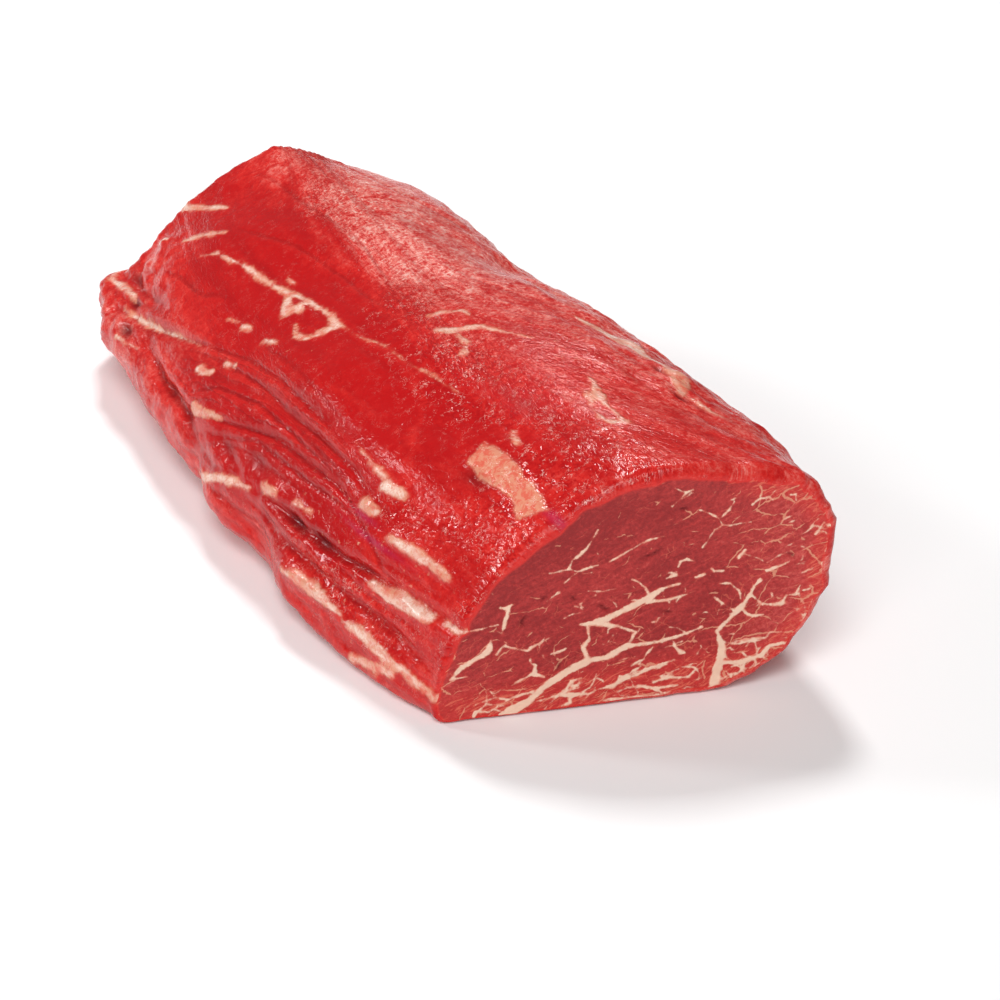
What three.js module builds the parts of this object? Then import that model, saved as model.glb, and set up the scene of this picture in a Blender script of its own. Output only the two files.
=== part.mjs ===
// Raw beef tenderloin roast: one solid piece of trimmed meat, lying on its flat side.
// Millimetres, +Z up. +Y runs from the near cut face to the far end, +X to the right of it.
// Places on the skin are written as [along, girth]: millimetres back from the near cut, and
// millimetres of girth measured from the left foot, up the left flank and over the crown.
import * as THREE from 'three';

// --- driving dimensions -----------------------------------------------------------------------
const LENGTH = 226; // from the near cut to the far end, along the middle
const FRONT_SKEW = 10; // degrees that the near cut is turned out of square
const BACK_SKEW = 3; // degrees that the far end is turned out of square
const BACK_PIVOT = 30; // x about which the far end is turned
const LEFT_FOOT = 24; // how far the flat underside starts inside the left edge
const FRONT_LIP = 3.2; // radius of the soft edge round the near cut
const BACK_LIP = 5.0; // radius of the soft edge round the far end
const FRONT_CENTRE = [56, 30]; // x and z that the near cut face is built about
const BACK_CENTRE = [30, 27]; // x and z that the far end is built about
const ORIGIN = [40.1, 107.1]; // x and y of the middle of the whole, set to zero at the end

// The cross-section, at six stations evenly spaced from the near cut to the far end.
const SECTION = {
  leftReach: [0, -16, -22, -23.5, -23, -18], // x of the left edge
  leftHeight: [2, 6, 12, 17, 20, 24], // z of the left edge
  crownX: [60, 57, 54, 47, 41, 37],
  crownZ: [66.2, 68, 68, 65, 64, 60],
  rightReach: [103.5, 103, 99, 90, 84, 77], // x of the right edge
  rightHeight: [44, 39, 35, 32, 30, 28], // z of the right edge
  rightFoot: [62, 64, 66, 62, 58, 54], // x where the flat underside ends
  leftFullness: [1.86, 1.85, 1.8, 1.6, 1.35, 1.02], // 1 is a straight slope, 2 a round one
  rightFullness: [2.4, 2.2, 2.1, 2.15, 2.05, 1.35],
  underFullness: [2.2, 2.2, 2.1, 2.1, 2.1, 2.1],
};
const LEFT_UNDER_FULLNESS = 2.2;
// How far the far end stands out or in, at nine places evenly spaced round the girth.
const BACK_EDGE = [0, 3, -1, 5, 2, -1, -2, 1, 0];

// Broad swells and hollows of the muscle: height, [along, girth], half length, half girth.
const SWELLS = [
  [2.2, [182, 147], 30, 13],
  [-2.4, [128, 150], 16, 15],
  [0.6, [70, 150], 26, 16],
  [2.2, [24, 22], 24, 12],
  [-4.4, [80, 29], 12, 10],
  [1.6, [102, 28], 12, 9],
  [-2.6, [122, 30], 9, 8],
  [0.8, [160, 30], 26, 9],
  [1.6, [196, 34], 18, 9],
  [1.6, [86, 77], 52, 7],
  [-1.0, [110, 98], 90, 11],
  [1.0, [60, 122], 40, 12],
  [0.9, [150, 125], 40, 14],
  [1.2, [196, 60], 22, 9],
  [-1.0, [60, 56], 30, 8],
  [1.6, [42, 71], 4.5, 3.4],
  [1.4, [45, 64], 3.2, 3.2],
  [1.0, [131, 86], 6, 5],
  [1.7, [51, 160], 6, 4.5],
  [1.0, [80, 47], 4, 3],
  [0.5, [40, 190], 40, 16],
  [1.4, [120, 186], 34, 12],
];

// Seams and folds between the muscles: depth, half width, route over the skin.
const SEAMS = [
  [1.9, 3.2, [[141, 54], [107, 64], [79, 68], [57, 69], [46, 65]]],
  [1.3, 2.8, [[118, 49], [90, 60], [64, 63], [50, 62]]],
  [0.9, 3.0, [[150, 54], [118, 64], [92, 71], [67, 75], [40, 76]]],
  [2.4, 2.8, [[84, 45], [65, 46], [45, 48], [20, 50], [-3, 50]]],
  [1.2, 2.6, [[90, 39], [55, 40], [30, 39], [8, 38]]],
  [2.2, 2.8, [[176, 44], [157, 41], [140, 42], [124, 40]]],
  [1.5, 2.8, [[226, 45], [200, 50], [182, 55]]],
  [1.4, 2.6, [[204, 40], [171, 51], [149, 58]]],
  [2.4, 3.4, [[214, 48], [206, 49]]],
  [3.0, 2.6, [[176, 149], [170, 153]]],
  [1.2, 3.0, [[92, 164], [76, 166], [60, 170]]],
  [1.8, 3.6, [[190, 170], [140, 182], [80, 196], [20, 200]]],
  [1.3, 3.2, [[120, 200], [60, 214], [10, 214]]],
  [1.2, 3.0, [[215, 150], [160, 168], [110, 174]]],
];

// Raised strips and patches of fat left on the trimmed meat: height, half width, route.
const FAT_PADS = [
  [0.7, 4.6, [[31, 92], [20, 92], [9, 87]]],
  [0.8, 2.6, [[60, 34], [45, 35], [33, 33], [16, 32], [0, 29]]],
  [0.6, 2.2, [[31, 61], [22, 61], [12, 60]]],
  [0.7, 2.8, [[27, 48], [18, 48], [11, 48]]],
];

// Slow unevenness of the whole skin: height, wavelength along, wavelength round, phase.
const UNEVENNESS = [
  [0.45, 69, 107, 0],
  [0.35, 145, -57, 1.3],
  [0.25, 46, 38, 0.4],
];
const FOOT_FADE = 14; // girth over which all relief dies away towards the flat underside

// --- fineness of the faceted solid ------------------------------------------------------------
const ROWS = 60; // steps along the length, between the two soft edges
const CURVE_STEPS = 60; // points that measure each quarter of a section
const LIP_STEPS = 3; // steps round each soft edge
const FACE_RINGS = [0.86, 0.66, 0.42, 0.2]; // rings of each end face, as shares of its size
const UNDERSIDE_STEPS = 5;
const SKIN_STEPS = [[0.09, 3], [0.45, 28], [0.78, 17], [1, 8]]; // [girth share reached, steps]

const radians = (degrees) => (degrees * Math.PI) / 180;
const clamp = (value, low, high) => Math.min(Math.max(value, low), high);
const mix = (a, b, share) => a + (b - a) * share;
const easeInOut = (share) => {
  const t = clamp(share, 0, 1);
  return t * t * (3 - 2 * t);
};

/** A smooth curve through evenly spaced values, read at a share from 0 to 1. */
function along(values, share) {
  const last = values.length - 1;
  const place = clamp(share, 0, 1) * last;
  const i = Math.min(Math.floor(place), last - 1);
  const t = place - i;
  const before = i > 0 ? values[i - 1] : 2 * values[0] - values[1];
  const after = i + 2 <= last ? values[i + 2] : 2 * values[last] - values[last - 1];
  const [start, end] = [values[i], values[i + 1]];
  const bend = 2 * before - 5 * start + 4 * end - after;
  const twist = 3 * start - before - 3 * end + after;
  return 0.5 * (2 * start + (end - before) * t + bend * t * t + twist * t * t * t);
}

/** One quarter of a rounded section: from the side point to the top or bottom point. */
function quarter(centre, side, degrees, fullness, rise) {
  const c = Math.abs(Math.cos(radians(degrees)));
  const s = Math.abs(Math.sin(radians(degrees)));
  const x = centre + (side - centre) * c ** (2 / fullness);
  return [x, rise(s ** (2 / fullness))];
}

/** The skin's outline at one station, from the left foot over the crown to the right foot. */
function skinCurve(u) {
  const at = {};
  for (const name of Object.keys(SECTION)) at[name] = along(SECTION[name], u);
  const up = (low) => (share) => mix(low, at.crownZ, share);
  const down = (low) => (share) => low * (1 - share);
  const leftFoot = at.leftReach + LEFT_FOOT;
  const points = [];
  for (let i = 0; i <= 4 * CURVE_STEPS; i += 1) {
    const degrees = 270 - (i * 90) / CURVE_STEPS;
    if (degrees > 180) {
      const rise = down(at.leftHeight);
      points.push(quarter(leftFoot, at.leftReach, degrees, LEFT_UNDER_FULLNESS, rise));
    } else if (degrees > 90) {
      const rise = up(at.leftHeight);
      points.push(quarter(at.crownX, at.leftReach, degrees, at.leftFullness, rise));
    } else if (degrees >= 0) {
      const rise = up(at.rightHeight);
      points.push(quarter(at.crownX, at.rightReach, degrees, at.rightFullness, rise));
    } else {
      const rise = down(at.rightHeight);
      points.push(quarter(at.rightFoot, at.rightReach, degrees, at.underFullness, rise));
    }
  }
  return points;
}

/** Points of one station's outline at the given shares of its girth, with the girth reached. */
function skinPoints(u, shares) {
  const curve = skinCurve(u);
  const reached = [0];
  for (let i = 1; i < curve.length; i += 1) {
    const step = Math.hypot(curve[i][0] - curve[i - 1][0], curve[i][1] - curve[i - 1][1]);
    reached.push(reached[i - 1] + step);
  }
  const girth = reached[reached.length - 1];
  let i = 0;
  return shares.map((share) => {
    const goal = share * girth;
    while (i < curve.length - 2 && reached[i + 1] < goal) i += 1;
    const part = clamp((goal - reached[i]) / (reached[i + 1] - reached[i]), 0, 1);
    const x = mix(curve[i][0], curve[i + 1][0], part);
    const z = mix(curve[i][1], curve[i + 1][1], part);
    return { x, z, girth: goal, left: girth - goal, share };
  });
}

/** The y of the near cut, of the far end's plane and of the far end's uneven rim. */
const frontPlane = (x) => -Math.tan(radians(FRONT_SKEW)) * x;
const backPlane = (x) => LENGTH - Math.tan(radians(BACK_SKEW)) * (x - BACK_PIVOT);
const backRim = (x, share) => backPlane(x) + along(BACK_EDGE, share);

/** Distance from a place on the skin to a route, and the share of the route passed there. */
function nearest(place, route) {
  let best = { distance: Infinity, share: 0 };
  for (let i = 0; i < route.length - 1; i += 1) {
    const [a0, g0] = route[i];
    const [da, dg] = [route[i + 1][0] - a0, route[i + 1][1] - g0];
    const dot = (place[0] - a0) * da + (place[1] - g0) * dg;
    const t = clamp(dot / (da * da + dg * dg), 0, 1);
    const distance = Math.hypot(place[0] - a0 - t * da, place[1] - g0 - t * dg);
    if (distance < best.distance) best = { distance, share: (i + t) / (route.length - 1) };
  }
  return best;
}

/** Height of the relief above the plain skin at [along, girth]. */
function relief(place, room) {
  let height = 0;
  for (const [rise, [a, g], halfLength, halfGirth] of SWELLS) {
    const spread = ((place[0] - a) / halfLength) ** 2 + ((place[1] - g) / halfGirth) ** 2;
    height += rise * Math.exp(-1.1 * spread);
  }
  for (const [depth, halfWidth, route] of SEAMS) {
    const { distance, share } = nearest(place, route);
    const fade = Math.sqrt(Math.sin(Math.PI * (0.03 + 0.94 * share)));
    height -= depth * fade * Math.exp(-((1.5 * distance / halfWidth) ** 2));
  }
  for (const [rise, halfWidth, route] of FAT_PADS) {
    const { distance } = nearest(place, route);
    height += rise * (1 - easeInOut((distance / halfWidth - 0.55) / 0.6));
  }
  for (const [rise, waveAlong, waveRound, phase] of UNEVENNESS) {
    const turns = place[0] / waveAlong + place[1] / waveRound;
    height += rise * Math.sin(2 * Math.PI * turns + phase);
  }
  return height * easeInOut(room / FOOT_FADE);
}

/** Shares of the girth where the skin has a line of vertices. */
function girthShares() {
  const shares = [0];
  let from = 0;
  for (const [to, steps] of SKIN_STEPS) {
    for (let i = 1; i <= steps; i += 1) shares.push(mix(from, to, i / steps));
    from = to;
  }
  return shares;
}

/** One closed loop of the plain solid at a station: skin, then the flat underside. */
function plainLoop(u, shares) {
  const loop = skinPoints(u, shares);
  const [leftFoot, rightFoot] = [loop[0], loop[loop.length - 1]];
  for (let i = 1; i < UNDERSIDE_STEPS; i += 1) {
    const x = mix(rightFoot.x, leftFoot.x, i / UNDERSIDE_STEPS);
    loop.push({ x, z: 0, girth: 0, left: 0, share: 0 });
  }
  return loop.map((point) => {
    const front = frontPlane(point.x);
    const back = backRim(point.x, point.share);
    const position = new THREE.Vector3(point.x, mix(front, back, u), point.z);
    return { ...point, position };
  });
}

/** All loops along the length, with the relief raised square to the plain skin. */
function reliefLoops(stations, shares) {
  const plain = stations.map((u) => plainLoop(u, shares));
  const count = plain[0].length;
  return plain.map((loop, row) => loop.map((point, column) => {
    const rowBefore = plain[Math.max(row - 1, 0)];
    const rowAfter = plain[Math.min(row + 1, plain.length - 1)];
    const lengthwise = rowAfter[column].position.clone().sub(rowBefore[column].position);
    const next = loop[(column + 1) % count].position;
    const previous = loop[(column - 1 + count) % count].position;
    const normal = next.clone().sub(previous).cross(lengthwise).normalize();
    const room = Math.min(point.girth, point.left);
    const rise = room > 0 ? relief([stations[row] * LENGTH, point.girth], room) : 0;
    const raised = point.position.clone().addScaledVector(normal, rise);
    raised.z = Math.max(raised.z, 0);
    return raised;
  }));
}

/** Moves a point towards an end's middle line by a distance, within its section. */
function inset(point, centre, distance) {
  const towards = new THREE.Vector2(centre[0] - point.x, centre[1] - point.z);
  towards.setLength(distance);
  return new THREE.Vector3(point.x + towards.x, point.y, point.z + towards.y);
}

/** The rings that close one end: round the soft edge, then over the face to its middle. */
function endRings(rim, faceAt, direction, radius, centre) {
  const rings = [];
  for (let step = 1; step <= LIP_STEPS; step += 1) {
    const turn = (Math.PI / 2) * (step / LIP_STEPS);
    const setback = direction * radius * (1 - Math.sin(turn));
    rings.push(rim.map((point, column) => {
      const moved = inset(point, centre, radius * (1 - Math.cos(turn)));
      moved.y = faceAt(moved.x, column) + setback;
      return moved;
    }));
  }
  const edge = rings[rings.length - 1];
  for (const share of FACE_RINGS) {
    rings.push(edge.map((point, column) => {
      const x = mix(centre[0], point.x, share);
      const z = mix(centre[1], point.z, share);
      return new THREE.Vector3(x, faceAt(x, column, share), z);
    }));
  }
  return rings;
}

/** Joins a stack of equal loops, from the far end to the near cut, into one closed mesh. */
function skinOver(loops, farMiddle, nearMiddle) {
  const count = loops[0].length;
  const positions = loops.flat().flatMap((point) => [point.x, point.y, point.z]);
  positions.push(...farMiddle, ...nearMiddle);
  const far = loops.length * count;
  const near = far + 1;
  const faces = [];
  for (let column = 0; column < count; column += 1) {
    const next = (column + 1) % count;
    faces.push(far, column, next);
    for (let row = 0; row < loops.length - 1; row += 1) {
      const [a, b] = [row * count + column, row * count + next];
      faces.push(a, b + count, b, a, a + count, b + count);
    }
    const start = (loops.length - 1) * count;
    faces.push(near, start + next, start + column);
  }
  const geometry = new THREE.BufferGeometry();
  geometry.setAttribute('position', new THREE.Float32BufferAttribute(positions, 3));
  geometry.setIndex(faces);
  geometry.computeVertexNormals();
  return geometry;
}

/** The whole roast as one closed solid. */
function roastGeometry() {
  const shares = girthShares();
  const [first, last] = [FRONT_LIP / LENGTH, 1 - BACK_LIP / LENGTH];
  const stations = Array.from({ length: ROWS + 1 }, (_, row) => mix(first, last, row / ROWS));
  const body = reliefLoops(stations, shares);

  const underside = Array.from({ length: UNDERSIDE_STEPS - 1 }, () => 0);
  const loopShares = [...shares, ...underside];
  const frontAt = (x) => frontPlane(x);
  const backAt = (x, column, size = 1) => {
    return mix(backPlane(x), backRim(x, loopShares[column]), easeInOut(size));
  };
  const near = endRings(body[0], frontAt, 1, FRONT_LIP, FRONT_CENTRE);
  const far = endRings(body[ROWS], backAt, -1, BACK_LIP, BACK_CENTRE);
  const loops = [...far.reverse(), ...body.reverse(), ...near];

  const nearMiddle = [FRONT_CENTRE[0], frontPlane(FRONT_CENTRE[0]), FRONT_CENTRE[1]];
  const farMiddle = [BACK_CENTRE[0], backPlane(BACK_CENTRE[0]), BACK_CENTRE[1]];
  const geometry = skinOver(loops, farMiddle, nearMiddle);
  geometry.translate(-ORIGIN[0], -ORIGIN[1], 0);
  return geometry;
}

const rawMeat = new THREE.MeshStandardMaterial({ color: 0xbc3236, roughness: 0.38, metalness: 0 });
const roast = new THREE.Mesh(roastGeometry(), rawMeat);
roast.name = 'roast';

const part = new THREE.Group();
part.name = 'beef_tenderloin_roast';
part.add(roast);

export default part;
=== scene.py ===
"""Raw beef tenderloin roast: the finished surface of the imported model, its stage and its camera.

Sizes are millimetres in the drawing frame of the part, whose x and y are zero at the left end of
the near cut; scaled() turns them into the frame's metres. Places on the skin are [along, girth]:
millimetres back from the near cut, and millimetres of girth from the left foot over the crown.
Angles are in degrees.
"""
import math

import bpy
import numpy as np
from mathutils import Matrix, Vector, geometry


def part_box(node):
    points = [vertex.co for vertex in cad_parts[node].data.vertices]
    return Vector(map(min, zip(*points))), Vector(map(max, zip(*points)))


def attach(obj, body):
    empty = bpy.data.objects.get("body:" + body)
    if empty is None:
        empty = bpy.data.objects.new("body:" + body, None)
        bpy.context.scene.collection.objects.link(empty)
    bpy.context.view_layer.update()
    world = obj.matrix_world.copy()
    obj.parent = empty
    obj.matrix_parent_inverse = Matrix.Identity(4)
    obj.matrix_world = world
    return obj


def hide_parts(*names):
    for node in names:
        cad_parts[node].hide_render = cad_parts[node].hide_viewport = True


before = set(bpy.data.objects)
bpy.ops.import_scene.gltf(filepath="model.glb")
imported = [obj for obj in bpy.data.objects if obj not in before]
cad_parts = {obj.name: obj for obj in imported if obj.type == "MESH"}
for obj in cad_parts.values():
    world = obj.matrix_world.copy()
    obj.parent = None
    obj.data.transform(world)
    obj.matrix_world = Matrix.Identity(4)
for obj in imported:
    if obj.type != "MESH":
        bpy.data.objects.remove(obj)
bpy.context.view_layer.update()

bl_info = {
    "name": "Raw Beef Tenderloin Roast",
    "version": (1, 0, 0),
    "blender": (4, 5, 0),
    "location": "3D Viewport > Sidebar > Roast",
    "description": "Builds a trimmed raw beef tenderloin roast with marbled cuts on a plain stage",
    "category": "Add Mesh",
}

NODE = "roast"

# --- the solid's own sizes, as in the part --------------------------------------------------------
LENGTH = 226.0
FRONT_SKEW = 10.0
BACK_SKEW = 3.0
BACK_PIVOT = 30.0
LEFT_FOOT = 24.0
FRONT_LIP = 3.2
BACK_LIP = 5.0
FRONT_CENTRE = (56.0, 30.0)
BACK_CENTRE = (30.0, 27.0)
ORIGIN = (40.1, 107.1)
MILLIMETRE = 0.001
GIRTH = 250.0
# The section's points and the fullness of its quarters, from the near cut to the far end.
SECTION = {
    "left_reach": [0, -16, -22, -23.5, -23, -18],
    "left_height": [2, 6, 12, 17, 20, 24],
    "crown_x": [60, 57, 54, 47, 41, 37],
    "crown_z": [66.2, 68, 68, 65, 64, 60],
    "right_reach": [103.5, 103, 99, 90, 84, 77],
    "right_height": [44, 39, 35, 32, 30, 28],
    "right_foot": [62, 64, 66, 62, 58, 54],
    "left_fullness": [1.86, 1.85, 1.8, 1.6, 1.35, 1.02],
    "right_fullness": [2.4, 2.2, 2.1, 2.15, 2.05, 1.35],
    "under_fullness": [2.2, 2.2, 2.1, 2.1, 2.1, 2.1],
}
LEFT_UNDER_FULLNESS = 2.2
BACK_EDGE = [0, 3, -1, 5, 2, -1, -2, 1, 0]
FRONT_LIP_ROUND = [1.3, 1.6, 2.6, 3.2, 3.2, 2.6, 1.6]
# Swells and hollows: rise, [along, girth], half length, half girth.
SWELLS = [
    (2.2, (182, 147), 30, 13),
    (-2.4, (128, 150), 16, 15),
    (0.6, (70, 150), 26, 16),
    (2.2, (24, 22), 24, 12),
    (-4.4, (80, 29), 12, 10),
    (1.6, (102, 28), 12, 9),
    (-2.6, (122, 30), 9, 8),
    (0.8, (160, 30), 26, 9),
    (1.6, (196, 34), 18, 9),
    (1.6, (86, 77), 52, 7),
    (-1.0, (110, 98), 90, 11),
    (1.0, (60, 122), 40, 12),
    (0.9, (150, 125), 40, 14),
    (1.2, (196, 60), 22, 9),
    (-1.0, (60, 56), 30, 8),
    (1.6, (42, 71), 4.5, 3.4),
    (1.4, (45, 64), 3.2, 3.2),
    (1.0, (131, 86), 6, 5),
    (1.7, (51, 160), 6, 4.5),
    (1.0, (80, 47), 4, 3),
    (0.5, (40, 190), 40, 16),
    (1.4, (120, 186), 34, 12),
]
# Seams between the muscles: depth, half width, route.
SEAMS = [
    (1.0, 2.8, [(141, 54), (107, 64), (79, 68), (57, 69), (46, 65)]),
    (0.7, 2.6, [(118, 49), (90, 60), (64, 63), (50, 62)]),
    (0.6, 3.0, [(150, 54), (118, 64), (92, 71), (67, 75), (40, 76)]),
    (1.6, 2.6, [(84, 45), (65, 46), (45, 48), (20, 50), (-3, 50)]),
    (1.2, 2.6, [(90, 39), (55, 40), (30, 39), (8, 38)]),
    (2.2, 2.8, [(176, 44), (157, 41), (140, 42), (124, 40)]),
    (1.5, 2.8, [(226, 45), (200, 50), (182, 55)]),
    (1.4, 2.6, [(204, 40), (171, 51), (149, 58)]),
    (2.4, 3.4, [(214, 48), (206, 49)]),
    (3.0, 2.6, [(176, 149), (170, 153)]),
    (1.2, 3.0, [(92, 164), (76, 166), (60, 170)]),
    (1.8, 3.6, [(190, 170), (140, 182), (80, 196), (20, 200)]),
    (1.3, 3.2, [(120, 200), (60, 214), (10, 214)]),
    (1.2, 3.0, [(215, 150), (160, 168), (110, 174)]),
]
# Pads of fat: rise, half width, route.
FAT_PADS = [
    (0.7, 4.6, [(31, 92), (20, 92), (9, 87)]),
    (0.8, 2.6, [(60, 34), (45, 35), (33, 33), (16, 32), (0, 29)]),
    (0.6, 2.2, [(31, 61), (22, 61), (12, 60)]),
    (0.7, 2.8, [(27, 48), (18, 48), (11, 48)]),
]
# Long waves: rise, wave along, wave round, phase.
UNEVENNESS = [
    (0.45, 69, 107, 0.0),
    (0.35, 145, -57, 1.3),
    (0.25, 46, 38, 0.4),
]
FOOT_FADE = 14.0
BLOB_FALL = 1.1

# --- vertices and random hills --------------------------------------------------------------------
# Rings round each soft edge, rings over the far cut, and lines along the underside.
LIP_STEPS = 7
FAR_RINGS = 34
UNDER_STEPS = 12
# How much longer than wide the skin's quads are, and a triangle's height to its side.
ROW_STRETCH = 1.55
TRIANGLE_HEIGHT = 0.866
# Stretches of the girth: the share where each ends, and how much coarser it is than the finest.
GIRTH_STRETCHES = [(0.05, 2.2), (0.70, 1.0), (1.0, 2.4)]
# Random hills: cells of their lattice, its shift from one octave to the next, and their gain.
HILL_CELLS = 64
HILL_SHIFT = (17.3, 9.1)
HILL_GAIN = 1.6
# A distance that counts as nowhere near a streak, and how far round a streak is measured.
FAR_AWAY = 9.0
STREAK_REACH = 6.0

# --- finer relief that only the finished surface has ----------------------------------------------
# Narrow seams between the layers: depth, half width, route.
FINE_SEAMS = [
    (0.7, 1.0, [(84, 45.5), (65, 46), (57, 46), (48, 47), (30, 49.5), (0, 50)]),
    (0.5, 0.9, [(141, 53), (110, 62.5), (83, 67.5), (58, 68.5), (49, 66)]),
    (0.4, 0.9, [(118, 49), (93, 59), (66, 62), (51, 62.5)]),
    (0.35, 0.9, [(196, 78), (150, 86), (100, 92), (64, 96)]),
    (0.7, 1.0, [(176, 43), (161, 40), (150, 40), (140, 41)]),
    (0.6, 1.1, [(136, 42), (124, 38), (112, 38), (96, 42)]),
    (0.6, 1.0, [(90, 39), (60, 40), (30, 40), (6, 38)]),
    (0.5, 1.0, [(76, 30), (50, 29), (24, 27), (4, 24)]),
    (0.4, 1.0, [(40, 54), (24, 54), (6, 55)]),
    (0.5, 1.0, [(220, 40), (204, 44), (190, 50), (176, 56)]),
    (0.6, 1.0, [(226, 50), (210, 53), (196, 58)]),
    (0.9, 1.0, [(175, 149), (171, 152)]),
    (0.5, 1.2, [(215, 120), (180, 132), (150, 146)]),
    (0.4, 1.2, [(110, 178), (60, 186), (12, 190)]),
    (0.5, 1.2, [(200, 160), (150, 172), (96, 180)]),
]
# Shallow pits and dents in the wet surface: depth, [along, girth], half length, half girth.
DENTS = [
    (0.8, (27, 86), 4.0, 2.0),
    (1.2, (66, 46), 6.0, 1.8),
    (1.2, (53, 47.5), 6.0, 1.8),
    (0.8, (150, 41), 5.0, 1.8),
    (0.8, (214, 49), 3.0, 2.0),
    (1.2, (199, 46), 4.0, 1.8),
    (1.1, (189, 40), 3.6, 2.0),
    (0.6, (92, 50), 7.0, 2.4),
    (0.6, (106, 46), 6.0, 2.2),
    (0.5, (180, 47), 7.0, 2.4),
    (1.6, (39.5, 151.8), 1.7, 1.2),
    (1.2, (53.0, 154.4), 1.6, 1.0),
]
# Folds between overlapping layers: depth, shade of the line, paleness of the layer below it, route.
FOLDS = [
    (0.45, 0.8, 0.50, [(142, 44), (127, 55), (109, 61), (87, 63.5), (72, 64), (57, 63)]),
    (0.35, 0.7, 0.40, [(137, 40), (113, 51), (94, 57.5), (79, 60.5), (57, 61.5), (49, 61)]),
    (0.30, 0.6, 0.35, [(120, 43), (98, 53.5), (77, 56.5), (57, 58.5), (48, 59)]),
    (0.20, 0.4, 0.30, [(118, 40), (103, 49), (83, 52), (68, 54)]),
    (0.25, 0.6, 0.25, [(105, 66), (82, 66), (64, 65.5), (50, 65)]),
    (0.40, 0.7, 0.50, [(155, 54), (137, 60), (118, 64), (94, 67.5), (70, 68.5)]),
    (0.40, 0.6, 0.55, [(165, 53), (149, 59), (128, 66), (104, 71), (86, 72), (66, 72)]),
    (0.20, 0.3, 0.40, [(130, 71), (110, 75), (90, 76), (66, 76)]),
    (0.10, 0.1, 0.45, [(111, 93.4), (96, 97), (88, 99), (76, 99), (63, 96.5),
                       (57, 92), (44, 81), (40, 77)]),
    (0.10, 0.1, 0.35, [(96, 78), (83, 82), (70, 84), (60, 83)]),
    (0.30, 0.4, 0.20, [(215, 96), (200, 101), (168, 108), (141, 111), (110, 109.5), (92, 107)]),
    (0.20, 0.4, 0.20, [(186, 84), (160, 96), (130, 102), (104, 105)]),
    (0.30, 0.4, 0.30, [(200, 58), (185, 63), (170, 66), (156, 72)]),
    (0.35, 0.5, 0.40, [(46, 60), (38, 56.5), (31, 53), (24, 49.5)]),
    (0.25, 0.3, 0.35, [(60, 44), (40, 45), (20, 43), (4, 43)]),
    (0.30, 0.5, 0.35, [(110, 33), (84, 35), (64, 31)]),
    (0.30, 0.4, 0.40, [(34, 38), (18, 38), (2, 35)]),
]
# Random lumps: where they show, rise, size along, size round, seed.
LUMPS = [
    ("ridge", 0.50, 5.5, 5.0, 48),
    ("trimmed", 0.80, 10.0, 8.0, 49),
    ("trimmed", 0.40, 3.6, 3.4, 50),
    ("rough", 0.38, 6.5, 4.5, 41),
    ("wet", 0.30, 5.0, 3.4, 43),
    ("lip", 0.35, 9.0, 6.0, 45),
]
# Random lumps in line with the fibres: where they show, rise, size along, size across, seed.
FIBRE_LUMPS = [
    ("rough", 0.60, 12.0, 4.0, 5),
    ("everywhere", 0.12, 22.0, 2.6, 7),
]
# The hollow behind the ridge on the right: depth, [along, girth], half length, half girth.
SADDLE = (1.3, (136, 157), 15, 10)
LIP_RISE = 0.35
LAYER_RISE = 0.25
# The fan of thin layers on the left flank gathers towards the two fat nodules.
FAN_SPINE = [(170, 47), (150, 52), (141, 54), (107, 64), (79, 68), (57, 69), (46, 65), (30, 58)]
FAN_LAYER = 2.6
STRIP_LAYER = 4.6

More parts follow.
